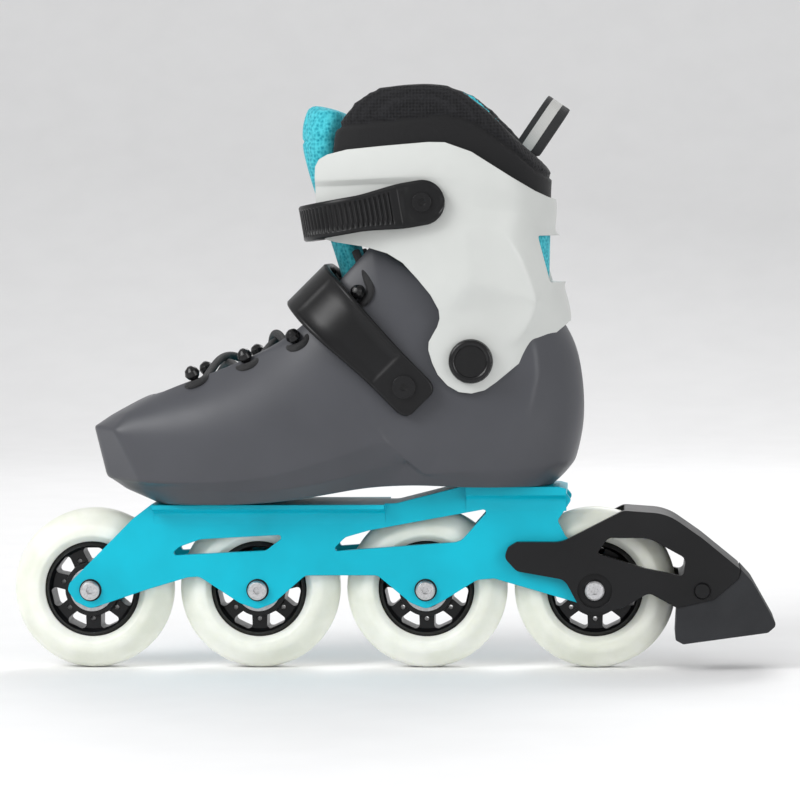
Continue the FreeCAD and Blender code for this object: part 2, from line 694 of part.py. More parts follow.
def cuff():
    """The moulded upper: a shell round the ankle, open at the front, with a rear window."""
    solid = slices_solid(CUFF_SLICES, 0.0).cut(slices_solid(CUFF_SLICES, CUFF_WALL))
    solid = solid.common(side_prism(CUFF_OUTLINE))
    solid = solid.cut(block((-60.0, -27.0, 200.0), (30.0, 27.0, 270.0)))
    solid = solid.cut(block((96.0, -29.0, 191.7), (130.0, 29.0, 214.7)))
    solid = solid.cut(across(PIVOT_HOLE, PIVOT_X, PIVOT_Z))
    solid = solid.cut(across(SCREW_HOLE, s.cuff_screw_x.value, s.cuff_screw_z.value))
    return solid_feature("cuff", solid)


def pivot_bolt(label, side):
    """A pivot bolt: flange and nut inside the shell, journal through both walls, cap outside."""
    body = new_body(label)
    inside = s.ankle_half - s.shell_wall - 2.4
    outside = s.ankle_half + 8.1
    turned(body, [
        (inside, 0.0), (outside + 2.2, 0.0), (outside + 2.2, s.pivot_cap - 1.2, 1.0),
        (outside, s.pivot_cap), (outside, 5.95), (inside + 1.6, 5.95), (inside + 1.6, 9.0),
        (inside, 9.0),
    ])
    place(body, x=s.pivot_x, z=s.pivot_z, axis=(0, 0, 1), angle=0.0 if side > 0 else 180.0)
    return body


def slot_head_screw(label, x, z, low, seats, head):
    """A screw along Y on both sides of the boot, as one group."""
    solids = []
    for side, high in zip((-1, 1), seats):
        along = FreeCAD.Vector(0, side, 0)
        start = FreeCAD.Vector(x, side * low, z)
        shank = Part.makeCylinder(2.5, high - low, start, along)
        nut = Part.makeCylinder(5.0, 1.2, start, along)
        cap = Part.makeCylinder(head, 1.4, FreeCAD.Vector(x, side * high, z), along)
        recess = Part.makeCylinder(1.8, 1.0, FreeCAD.Vector(x, side * (high + 0.4), z), along)
        solids.append(shank.fuse(nut).fuse(cap).cut(recess).removeSplitter())
    feature = doc.addObject("Part::Feature", label)
    feature.Shape = Part.makeCompound(solids)
    return subpart(feature, label)


def half_width(levels, x, z):
    """The half width of a sliced shape at a place, by the slices beside it."""
    for low, high in zip(levels, levels[1:]):
        if low[0] <= z <= high[0]:
            share = (z - low[0]) / (high[0] - low[0])
            level = [a + (b - a) * share for a, b in zip(low, high)]
            middle, reach = (level[1] + level[2]) / 2, (level[2] - level[1]) / 2
            u = (x - middle) / reach
            half = level[3] + (level[4] - level[3]) * (u + 1) / 2
            return half * (1 - abs(u) ** BLUNTNESS) ** (1 / BLUNTNESS)
    raise ValueError("no slice at height %s" % z)


# ---- straps and buckles -------------------------------------------------------------------------


def strap_loop(inner_half, reach, width, corner, tail):
    """A strap bent to a U round the front of the boot, with ends rounded about its screws."""
    thick = s.strap_thickness.value
    outer_half = inner_half + thick

    def u_shape(half, front, round_radius):
        corners = [FreeCAD.Vector(tail, -half, 0), FreeCAD.Vector(-front, -half, 0),
                   FreeCAD.Vector(-front, half, 0), FreeCAD.Vector(tail, half, 0)]
        face = Part.Face(Part.makePolygon(corners + corners[:1]))
        solid = face.extrude(FreeCAD.Vector(0, 0, width))
        solid.translate(FreeCAD.Vector(0, 0, -width / 2))
        uprights = [edge for edge in solid.Edges
                    if abs(edge.Length - width) < 1e-6 and edge.Vertexes[0].X < -front + 1]
        return solid.makeFillet(round_radius, uprights)

    solid = u_shape(outer_half, reach, corner).cut(u_shape(inner_half, reach - thick, corner - thick))
    flat = block((-reach - 5.0, -90.0, -width / 2), (0.0, 90.0, width / 2))
    stadium = flat.fuse(across(width / 2, 0.0, 0.0))
    return solid.common(stadium).cut(across(SCREW_HOLE, 0.0, 0.0)).removeSplitter()


def strap(label, screw_x, screw_z, inner_half, reach, width, corner, tilt):
    feature = doc.addObject("Part::Feature", label)
    feature.Shape = strap_loop(inner_half, reach, width, corner, width / 2 + 2.0)
    place(feature, x=screw_x, z=screw_z, angle=tilt)
    return subpart(feature, label)


BASE_THICKNESS = 1.6
CHEEK_HEIGHT = 9.0
CHEEK_THICKNESS = 2.0
BUCKLE_PIN_X = -34.0
BUCKLE_PIN_RADIUS = 1.5
LEVER_GAP = 0.3


def buckle(prefix, screw_x, screw_z, seat, width, tilt, mirror_length):
    """Base plate with two cheeks, a pin across them, and the lever that swings on the pin."""
    half = width / 2
    base = new_body(prefix + "_buckle_base")
    plate = outline(base, "XZ_Plane", [
        (9.0, -half + 3.0, 4.0), (9.0, half - 3.0, 4.0), (-mirror_length, half, 4.0),
        (-mirror_length, -half, 4.0),
    ], offset=-(seat + BASE_THICKNESS))
    pad(base, plate, BASE_THICKNESS, "One side", False)
    for side in (-1, 1):
        cheek = outline(base, "XY_Plane", [
            (BUCKLE_PIN_X - 7.0, seat), (BUCKLE_PIN_X + 9.0, seat),
            (BUCKLE_PIN_X + 4.0, seat + CHEEK_HEIGHT, 3.0),
            (BUCKLE_PIN_X - 5.0, seat + CHEEK_HEIGHT, 3.0),
        ], offset=side * half - CHEEK_THICKNESS / 2)
        pad(base, cheek, CHEEK_THICKNESS, "One side")
    pin_y = seat + CHEEK_HEIGHT - 4.2
    pocket(base, circle(base, "XY_Plane", BUCKLE_PIN_X, pin_y, BUCKLE_PIN_RADIUS + 0.02, -40.0),
           80.0, "One side", True)
    pocket(base, circle(base, "XZ_Plane", 0.0, 0.0, SCREW_HOLE), 200.0)
    pin = new_body(prefix + "_buckle_pin")
    pad(pin, circle(pin, "XY_Plane", BUCKLE_PIN_X, pin_y, BUCKLE_PIN_RADIUS), width + 2.0)
    lever = new_body(prefix + "_buckle_lever")
    lever_half = half - CHEEK_THICKNESS / 2 - LEVER_GAP
    side_view = outline(lever, "XY_Plane", [
        (BUCKLE_PIN_X - 2.9, pin_y - 2.9, 2.8), (BUCKLE_PIN_X + 5.0, pin_y - 2.9, 1.5),
        (-8.0, pin_y - 1.0, 8.0), (10.0, pin_y + 2.8, 1.2), (10.0, pin_y + 5.2, 1.0),
        (-6.0, pin_y + 4.4, 8.0), (BUCKLE_PIN_X - 2.9, pin_y + 3.0, 2.8),
    ])
    pad(lever, side_view, lever_half * 2)
    bore = circle(lever, "XY_Plane", BUCKLE_PIN_X, pin_y, BUCKLE_PIN_RADIUS + 0.05)
    pocket(lever, bore, width + 10.0)
    for body in (base, pin, lever):
        place(body, x=screw_x, z=screw_z, angle=tilt)
    return pin_y


shell()
cuff()
pivot_bolt("cuff_pivot_medial", -1)
pivot_bolt("cuff_pivot_lateral", 1)

CUFF_STRAP_INNER = 45.6
CUFF_STRAP_TILT = -9.5
INSTEP_STRAP_INNER = 44.0
INSTEP_STRAP_TILT = 45.5
strap("cuff_strap", s.cuff_screw_x, s.cuff_screw_z, CUFF_STRAP_INNER, 62.0,
      s.cuff_strap_width.value, 30.0, CUFF_STRAP_TILT)
strap("instep_strap", s.instep_screw_x, s.instep_screw_z, INSTEP_STRAP_INNER, 71.0,
      s.instep_width.value, 34.0, INSTEP_STRAP_TILT)
THICK = s.strap_thickness.value
CUFF_SEAT = CUFF_STRAP_INNER + THICK + 0.1
INSTEP_SEAT = INSTEP_STRAP_INNER + THICK + 0.1
buckle("cuff", s.cuff_screw_x, s.cuff_screw_z, CUFF_SEAT, 22.0, CUFF_STRAP_TILT, 46.0)
buckle("instep", s.instep_screw_x, s.instep_screw_z, INSTEP_SEAT, 22.0, INSTEP_STRAP_TILT, 46.0)

# ---- boot: soft pieces --------------------------------------------------------------------------

COLLAR_RADIUS = 50.0
TONGUE_RADIUS = 85.0
FLEX_GAP = 0.7
TONGUE_HALF = 21.0
LINER_PLAY = 0.5
FOOT_FOAM = 5.0
COLLAR_FOAM = 9.0
HEEL_PAD_RISE = 3.2
SOLE_FOAM = 3.0


def sector(start, end, inner):
    """A prism across Y: the part of a ring about the pivot between two angles, in degrees."""
    far = 320.0
    fan = [(PIVOT_X, PIVOT_Z)]
    steps = 8
    for i in range(steps + 1):
        angle = math.radians(start + (end - start) * i / steps)
        fan.append((PIVOT_X + far * math.cos(angle), PIVOT_Z + far * math.sin(angle)))
    return side_prism(fan).cut(across(inner, PIVOT_X, PIVOT_Z))


def liner_foot():
    """The liner's lower half: a foam sock inside the shell, up to the ankle joint."""
    rise = LINER_PLAY
    outer = slices_solid(SHELL_SLICES, SHELL_WALL + LINER_PLAY).cut(floor_prism(rise))
    outer = outer.cut(side_prism([(55.0, 90.0), (55.0, 98.5 + HEEL_PAD_RISE), (140.0, 98.5 + HEEL_PAD_RISE),
                                  (140.0, 90.0)]))
    hollow = slices_solid(SHELL_SLICES, SHELL_WALL + LINER_PLAY + FOOT_FOAM)
    hollow = hollow.cut(floor_prism(HEEL_PAD_RISE + SOLE_FOAM))
    solid = outer.cut(hollow).cut(sector(18.0, 148.0, COLLAR_RADIUS))
    solid = solid.cut(side_prism(THROAT, THROAT_HALF))
    solid = solid.cut(side_prism(UPPER_THROAT, UPPER_THROAT_HALF))
    solid = solid.cut(block((-20.0, -90.0, 196.0), (130.0, 90.0, 230.0)))
    for side in (-1, 1):
        start = FreeCAD.Vector(PIVOT_X, side * 27.0, PIVOT_Z)
        solid = solid.cut(Part.makeCylinder(9.6, 12.0, start, FreeCAD.Vector(0, side, 0)))
        start = FreeCAD.Vector(s.instep_screw_x.value, side * 27.0, s.instep_screw_z.value)
        solid = solid.cut(Part.makeCylinder(5.6, 14.0, start, FreeCAD.Vector(0, side, 0)))
    return solid_feature("liner_foot", solid)


def liner_collar():
    """The liner's upper half: a padded collar that leans with the cuff."""
    levels = CUFF_SLICES[:-1] + [(292.0, -14.0, 112.0, 42.0, 41.0)]
    play = CUFF_WALL + LINER_PLAY
    solid = slices_solid(levels, play).cut(slices_solid(levels, play + COLLAR_FOAM))
    solid = solid.common(side_prism(LINER_TOP))
    solid = solid.common(sector(20.0, 138.0, COLLAR_RADIUS + FLEX_GAP))
    solid = solid.cut(block((-60.0, -60.0, 130.0), (30.0, 60.0, 230.0)))
    solid = solid.cut(block((-60.0, -TONGUE_HALF - 4.0, 130.0), (26.0, TONGUE_HALF + 4.0, 300.0)))
    solid = solid.cut(block((20.0, -60.0, 130.0), (50.0, 60.0, 211.0)))
    for side in (-1, 1):
        start = FreeCAD.Vector(s.cuff_screw_x.value, side * 27.0, s.cuff_screw_z.value)
        solid = solid.cut(Part.makeCylinder(5.6, 30.0, start, FreeCAD.Vector(0, side, 0)))
    return solid_feature("liner_collar", solid)


TONGUE_COLLAR = [
    (4.0, 202.0), (-3.0, 214.0), (-7.5, 230.0), (-9.5, 246.0), (-13.0, 258.0), (-14.4, 267.0),
    (-12.0, 274.5), (-4.4, 278.3), (4.0, 279.0), (3.0, 266.0), (1.5, 250.0), (3.5, 232.0),
    (9.0, 214.0), (16.0, 204.0),
]
TONGUE_FOOT = [
    (-82.0, 131.0), (-56.0, 141.0), (-30.0, 152.0), (-12.0, 162.0), (2.0, 178.0), (11.0, 202.0),
    (21.0, 203.0), (13.0, 184.0), (0.0, 166.0), (-24.0, 147.0), (-54.0, 136.0), (-80.0, 127.0),
]


def tongue_pieces():
    """The tongue, parted on an arc about the pivot so that its top leans with the cuff."""
    lower = side_prism(TONGUE_FOOT, TONGUE_HALF)
    solid_feature("tongue_foot", lower.cut(sector(60.0, 150.0, TONGUE_RADIUS)))
    upper = side_prism(TONGUE_COLLAR, TONGUE_HALF)
    upper = upper.cut(across(TONGUE_RADIUS + FLEX_GAP, PIVOT_X, PIVOT_Z))
    solid_feature("tongue_collar", upper.cut(block((-60.0, -40.0, 180.0), (40.0, 40.0, 212.5))))


def insole():
    """The footbed on the liner's floor."""
    inset = SHELL_WALL + LINER_PLAY + FOOT_FOAM + 0.6
    layer = slices_solid(SHELL_SLICES, inset).cut(floor_prism(HEEL_PAD_RISE + SOLE_FOAM + 0.2))
    layer = layer.common(floor_prism(HEEL_PAD_RISE + SOLE_FOAM + 3.4))
    return solid_feature("insole", layer)


def heel_shock_pad():
    """The soft block between the shell's floor and the liner's heel."""
    layer = slices_solid(SHELL_SLICES, SHELL_WALL + 1.0)
    layer = layer.common(block((58.0, -60.0, 98.7), (140.0, 60.0, 98.5 + HEEL_PAD_RISE - 0.2)))
    return solid_feature("heel_shock_pad", layer)


def pull_loop():
    """The webbing loop: an arch over the back of the collar, its tape facing the sides."""
    straight = LOOP_HEIGHT - LOOP_HALF
    bend = FreeCAD.Vector(-LOOP_WIDTH / 2, 0, straight)
    along = FreeCAD.Vector(1, 0, 0)
    inside = LOOP_HALF - LOOP_THICKNESS
    outer = Part.makeCylinder(LOOP_HALF, LOOP_WIDTH, bend, along)
    outer = outer.fuse(block((-LOOP_WIDTH / 2, -LOOP_HALF, 0.0), (LOOP_WIDTH / 2, LOOP_HALF, straight)))
    inner = Part.makeCylinder(inside, LOOP_WIDTH, bend, along)
    inner = inner.fuse(block((-LOOP_WIDTH / 2, -inside, -1.0), (LOOP_WIDTH / 2, inside, straight)))
    solid = outer.cut(inner).removeSplitter()
    solid.rotate(FreeCAD.Vector(), FreeCAD.Vector(0, 1, 0), LOOP_LEAN)
    solid.translate(FreeCAD.Vector(LOOP_FOOT[0], 0, LOOP_FOOT[1]))
    collar_top = [(60.0, 286.9), (77.8, 275.7), (88.9, 264.5), (101.1, 255.7), (104.6, 247.9),
                  (104.6, 200.0), (60.0, 200.0)]
    return solid_feature("pull_loop", solid.cut(side_prism(collar_top)))


LOOP_HEIGHT = 27.0
LOOP_HALF = 8.5
LOOP_WIDTH = 13.0
LOOP_THICKNESS = 1.6
LOOP_FOOT = (93.2, 257.6)
LOOP_LEAN = 34.4


# ---- lace ---------------------------------------------------------------------------------------

LACE_STATIONS = [(-69.3, 27.0), (-43.3, 28.0), (-18.9, 29.0), (13.3, 30.5)]
POST_RADIUS = 2.0
POST_HEIGHT = 4.7
HEAD_RADIUS = 3.8
LACE_HEIGHT = 3.2


def top_surface(x, y):
    """The shell's outer surface above (x, y) and its normal."""
    low, high = 129.5, 202.5
    for _ in range(50):
        middle = (low + high) / 2
        level_half = outer_half(x, middle)
        low, high = (middle, high) if level_half > y else (low, middle)
    step = 0.5
    along_x = (outer_half(x + step, low) - outer_half(x - step, low)) / (2 * step)
    along_z = (outer_half(x, low) - outer_half(x, low - step)) / step
    return FreeCAD.Vector(x, y, low), FreeCAD.Vector(-along_x, 1.0, -along_z).normalize()


def outer_half(x, z):
    """The shell's half width, or 0 in front of it."""
    for low, high in zip(SHELL_SLICES, SHELL_SLICES[1:]):
        if low[0] <= z <= high[0]:
            front = low[1] + (high[1] - low[1]) * (z - low[0]) / (high[0] - low[0])
            if x <= front + 0.01:
                return 0.0
    return half_width(SHELL_SLICES, x, z)


def mirrored(vector, side):
    return FreeCAD.Vector(vector.x, vector.y * side, vector.z)


def lace_loop(x, y, side, upward):
    """The two corners that take the lace round a post, in the order it is followed."""
    point, normal = top_surface(x, y)
    out = FreeCAD.Vector(0, 1, 0) - normal * normal.y
    out.normalize()
    along = out.cross(normal)
    if along.x < 0:
        along = along * -1
    reach = POST_RADIUS + s.lace_radius.value + 0.2
    centre = point + normal * LACE_HEIGHT
    pair = [centre + out * reach - along * reach, centre + out * reach + along * reach]
    pair = [mirrored(corner, side) for corner in pair]
    return pair if upward else pair[::-1]


def lace_route():
    """From one tucked end down the lacing, across the front bar and back up to the other."""
    ends = [FreeCAD.Vector(9.0, side * 24.0, 207.5) for side in (-1, 1)]
    lifts = {0: (2.6, 7.2), 1: (2.2, 6.8), 2: (-0.6, 3.6)}
    route = [ends[0]]
    count = len(LACE_STATIONS)
    side = -1
    for index in range(count - 1, -1, -1):
        route += lace_loop(*LACE_STATIONS[index], side, False)
        if index:
            route.append(crossing(index - 1, lifts[index - 1][0]))
            side = -side
    side = -side
    for index in range(count):
        route += lace_loop(*LACE_STATIONS[index], side, True)
        if index < count - 1:
            route.append(crossing(index, lifts[index][1]))
            side = -side
    route.append(ends[1])
    return route


def crossing(index, lift):
    """The middle of the crossing between two stations, above the boot's top line."""
    x = (LACE_STATIONS[index][0] + LACE_STATIONS[index + 1][0]) / 2
    point, normal = top_surface(x, 1.0)
    return FreeCAD.Vector(x, 0.0, point.z) + FreeCAD.Vector(normal.x, 0, normal.z).normalize() * lift


def cord_tube(route, radius):
    """A tube along straight runs joined by the largest tangent arcs that they allow."""
    edges = []
    start = route[0]
    for before, corner, after in zip(route, route[1:], route[2:]):
        one, two = before - corner, after - corner
        shorter = min(one.Length, two.Length)
        turn = math.pi - one.getAngle(two)
        bend = 0.45 * shorter / math.tan(turn / 2)
        enter, middle, leave = corner_arc(corner, before, after, bend)
        edges.append(Part.LineSegment(start, enter).toShape())
        edges.append(Part.Arc(enter, middle, leave).toShape())
        start = leave
    edges.append(Part.LineSegment(start, route[-1]).toShape())
    path = Part.Wire(edges)
    circle_edge = Part.Circle(route[0], route[1] - route[0], radius).toShape()
    tube = path.makePipeShell([Part.Wire([circle_edge])], True, True)
    expected = math.pi * radius ** 2 * path.Length
    if abs(tube.Volume - expected) > 0.02 * expected:
        raise RuntimeError("the lace's volume is %.0f, not %.0f" % (tube.Volume, expected))
    print("lace length %.0f mm" % path.Length)
    return tube


def post_shape():
    """A stem with a mushroom head, turned about Z."""
    stem = POST_HEIGHT + 1.0
    rim = HEAD_RADIUS
    profile = [(0, 0), (POST_RADIUS, 0), (POST_RADIUS, stem), (rim * 0.75, stem + 0.4),
               (rim, stem + 2.4), (rim * 0.8, stem + 4.8), (rim * 0.35, stem + 6.2), (0, stem + 6.4)]
    corners = [FreeCAD.Vector(radius, 0, height) for radius, height in profile]
    face = Part.Face(Part.makePolygon(corners + corners[:1]))
    return face.revolve(FreeCAD.Vector(), FreeCAD.Vector(0, 0, 1), 360)


def lace_posts(label, stations):
    """Posts with round heads that hold the lace, seated on the shell."""
    posts = []
    for x, y in stations:
        point, normal = top_surface(x, y)
        for side in (-1, 1):
            foot = mirrored(point - normal, side)
            up = mirrored(normal, side)
            post = post_shape()
            turn = FreeCAD.Rotation(FreeCAD.Vector(0, 0, 1), up)
            post.Placement = FreeCAD.Placement(foot, turn)
            posts.append(post)
    feature = doc.addObject("Part::Feature", label)
    feature.Shape = Part.makeCompound(posts)
    return subpart(feature, label)


liner_foot()
liner_collar()
tongue_pieces()
insole()
heel_shock_pad()
pull_loop()
lace_posts("lace_hooks", LACE_STATIONS[:2])
lace_posts("eyelets", LACE_STATIONS[2:])
solid_feature("lace", cord_tube(lace_route(), s.lace_radius.value))

slot_head_screw("cuff_strap_screws", s.cuff_screw_x.value, s.cuff_screw_z.value,
                39.2, (CUFF_SEAT - 0.1, CUFF_SEAT + BASE_THICKNESS), 4.7)
slot_head_screw("instep_strap_screws", s.instep_screw_x.value, s.instep_screw_z.value,
                32.0, (INSTEP_SEAT - 0.1, INSTEP_SEAT + BASE_THICKNESS), 5.7)

# ---- checks and export --------------------------------------------------------------------------

doc.recompute()
for item in doc.Objects:
    if "Invalid" in item.State or "Error" in item.State:
        raise RuntimeError("%s (%s) failed" % (item.Name, item.Label))
for item in subparts:
    if item.Shape.isNull() or not item.Shape.isValid():
        raise RuntimeError("%s has no valid shape" % item.Label)

os.makedirs("parts", exist_ok=True)
for item in subparts:
    item.Shape.exportStep("parts/%s.step" % item.Label)
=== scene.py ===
import math

import bmesh
import bpy
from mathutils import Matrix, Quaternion, Vector


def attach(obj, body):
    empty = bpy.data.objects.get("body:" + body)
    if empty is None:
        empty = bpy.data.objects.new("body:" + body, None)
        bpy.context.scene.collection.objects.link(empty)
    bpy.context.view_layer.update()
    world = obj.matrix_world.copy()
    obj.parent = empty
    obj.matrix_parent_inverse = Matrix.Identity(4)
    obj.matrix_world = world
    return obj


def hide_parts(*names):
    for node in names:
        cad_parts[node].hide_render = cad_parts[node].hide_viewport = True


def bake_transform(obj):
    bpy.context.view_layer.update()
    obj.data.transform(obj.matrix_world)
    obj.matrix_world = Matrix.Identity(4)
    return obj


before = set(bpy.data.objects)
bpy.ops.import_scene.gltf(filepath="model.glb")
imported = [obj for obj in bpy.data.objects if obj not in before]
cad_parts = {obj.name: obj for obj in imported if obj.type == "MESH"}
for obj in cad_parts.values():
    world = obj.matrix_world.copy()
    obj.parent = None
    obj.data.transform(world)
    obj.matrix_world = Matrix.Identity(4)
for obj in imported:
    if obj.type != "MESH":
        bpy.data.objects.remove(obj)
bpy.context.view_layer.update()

# Inline skate, in metres: +X to the heel, +Z up, the wheels in the plane Y = 0. Lists of points are
# written in millimetres in the same frame and scaled by MM.

MM = 0.001


# ---- materials ----------------------------------------------------------------------------------


def new_material(name, colour, roughness, **extra):
    """A Principled material; extra sets more of its plain inputs. Returns it with its nodes."""
    material = bpy.data.materials.new(name)
    material.use_nodes = True
    nodes = material.node_tree.nodes
    shader = nodes["Principled BSDF"]
    shader.inputs["Base Color"].default_value = (*colour, 1.0)
    shader.inputs["Roughness"].default_value = roughness
    for key, value in extra.items():
        shader.inputs[key.replace("_", " ")].default_value = value
    return material, nodes, material.node_tree.links, shader


def object_coords(nodes):
    """Texture coordinates fixed to the object."""
    return nodes.new("ShaderNodeTexCoord").outputs["Object"]


def noise(nodes, links, scale, detail=3.0, stretch=None):
    """Noise in object space, of a scale per metre, stretched along an axis if asked."""
    texture = nodes.new("ShaderNodeTexNoise")
    texture.inputs["Scale"].default_value = scale
    texture.inputs["Detail"].default_value = detail
    source = object_coords(nodes)
    if stretch:
        mapping = nodes.new("ShaderNodeMapping")
        mapping.inputs["Scale"].default_value = stretch
        links.new(source, mapping.inputs["Vector"])
        source = mapping.outputs["Vector"]
    links.new(source, texture.inputs["Vector"])
    return texture.outputs["Fac"]


def vary_colour(nodes, links, shader, fac, dark, light, low=0.35, high=0.65):
    """Colour that runs from dark to light with a texture."""
    ramp = nodes.new("ShaderNodeValToRGB")
    ramp.color_ramp.elements[0].position = low
    ramp.color_ramp.elements[1].position = high
    ramp.color_ramp.elements[0].color = (*dark, 1.0)
    ramp.color_ramp.elements[1].color = (*light, 1.0)
    links.new(fac, ramp.inputs["Fac"])
    links.new(ramp.outputs["Color"], shader.inputs["Base Color"])


def vary_roughness(nodes, links, shader, fac, low, high):
    """Roughness that runs from low to high with a texture."""
    ranged = nodes.new("ShaderNodeMapRange")
    ranged.inputs["To Min"].default_value = low
    ranged.inputs["To Max"].default_value = high
    links.new(fac, ranged.inputs["Value"])
    links.new(ranged.outputs["Result"], shader.inputs["Roughness"])


def bump(nodes, links, shader, height, distance, strength, rounding=0.0):
    """Bump of a height in metres, over edges rounded by a radius if one is given."""
    node = nodes.new("ShaderNodeBump")
    node.inputs["Distance"].default_value = distance
    node.inputs["Strength"].default_value = strength
    links.new(height, node.inputs["Height"])
    if rounding:
        edge = nodes.new("ShaderNodeBevel")
        edge.samples = 4
        edge.inputs["Radius"].default_value = rounding
        links.new(edge.outputs["Normal"], node.inputs["Normal"])
    links.new(node.outputs["Normal"], shader.inputs["Normal"])


def shaded(colour, amount):
    """A colour made lighter or darker."""
    return tuple(min(1.0, channel * amount) for channel in colour)


def plastic(name, colour, roughness, grain=0.00003, wear=1.25, **extra):
    """Moulded plastic: a fine grain, slow colour drift and handling marks in the gloss."""
    extra.setdefault("Specular_IOR_Level", DARK_SHINE if max(colour) < 0.03 else 0.4)
    material, nodes, links, shader = new_material(name, colour, roughness, **extra)
    slow = noise(nodes, links, 22.0, 4.0)
    vary_colour(nodes, links, shader, slow, shaded(colour, 2 - wear), shaded(colour, wear))
    vary_roughness(nodes, links, shader, noise(nodes, links, 60.0, 5.0), roughness - 0.07,
                   roughness + 0.09)
    bump(nodes, links, shader, noise(nodes, links, 2600.0, 2.0), grain, 0.6, rounding=0.0005)
    return material


def metal(name, colour, roughness):
    """Metal with a grain drawn round the axle."""
    material, nodes, links, shader = new_material(name, colour, roughness, Metallic=1.0)
    grain = noise(nodes, links, 900.0, 3.0, (1.0, 8.0, 1.0))
    vary_colour(nodes, links, shader, grain, shaded(colour, 0.86), shaded(colour, 1.08))
    vary_roughness(nodes, links, shader, grain, roughness - 0.08, roughness + 0.12)
    bump(nodes, links, shader, grain, 0.00001, 0.5, rounding=0.0003)
    return material


def fabric(name, dark, light, scale, height, roughness=0.9, hexes=False):
    """Knit or mesh: cells at the stated scale with heathered yarn colour."""
    material, nodes, links, shader = new_material(name, dark, roughness, Specular_IOR_Level=0.2)
    shader.inputs["Sheen Weight"].default_value = 0.12
    shader.inputs["Sheen Roughness"].default_value = 0.5
    cells = nodes.new("ShaderNodeTexVoronoi")
    cells.inputs["Scale"].default_value = scale
    cells.inputs["Randomness"].default_value = 0.15 if hexes else 0.6
    links.new(object_coords(nodes), cells.inputs["Vector"])
    yarn = noise(nodes, links, scale * 1.7, 4.0)
    mixed = nodes.new("ShaderNodeMix")
    mixed.inputs["Factor"].default_value = 0.5
    links.new(cells.outputs["Distance"], mixed.inputs["A"])
    links.new(yarn, mixed.inputs["B"])
    vary_colour(nodes, links, shader, mixed.outputs["Result"], dark, light, 0.25, 0.62)
    bump(nodes, links, shader, mixed.outputs["Result"], height, 0.9)
    return material


def webbing(name, dark, light, pitch):
    """Woven tape: fine diagonal ribs."""
    material, nodes, links, shader = new_material(name, dark, 0.75)
    waves = nodes.new("ShaderNodeTexWave")
    waves.bands_direction = "DIAGONAL"
    waves.inputs["Scale"].default_value = 1.0 / pitch
    waves.inputs["Distortion"].default_value = 1.2
    links.new(object_coords(nodes), waves.inputs["Vector"])
    vary_colour(nodes, links, shader, waves.outputs["Fac"], dark, light, 0.2, 0.9)
    bump(nodes, links, shader, waves.outputs["Fac"], 0.0002, 0.8)
    shader.inputs["Sheen Weight"].default_value = 0.05
    return material


def painted(name, colour):
    """Satin powder coat with a little orange peel."""
    material, nodes, links, shader = new_material(name, colour, 0.36, Specular_IOR_Level=0.25)
    vary_colour(nodes, links, shader, noise(nodes, links, 30.0), shaded(colour, 0.93),
                shaded(colour, 1.06))
    vary_roughness(nodes, links, shader, noise(nodes, links, 80.0), 0.30, 0.42)
    bump(nodes, links, shader, noise(nodes, links, 1500.0, 2.0), 0.00002, 0.5, rounding=0.0006)
    return material


def urethane(name):
    """Milky cast urethane with faint clouds."""
    colour = (0.80, 0.82, 0.74)
    material, nodes, links, shader = new_material(name, colour, 0.34)
    shader.inputs["Subsurface Weight"].default_value = 0.45
    shader.inputs["Subsurface Radius"].default_value = (0.9, 0.9, 0.7)
    shader.inputs["Subsurface Scale"].default_value = 0.006
    cloud = noise(nodes, links, 42.0, 5.0)
    vary_colour(nodes, links, shader, cloud, (0.72, 0.74, 0.655), (0.86, 0.875, 0.81))
    vary_roughness(nodes, links, shader, noise(nodes, links, 140.0, 4.0), 0.28, 0.48)
    bump(nodes, links, shader, noise(nodes, links, 500.0, 3.0), 0.00003, 0.5)
    return material


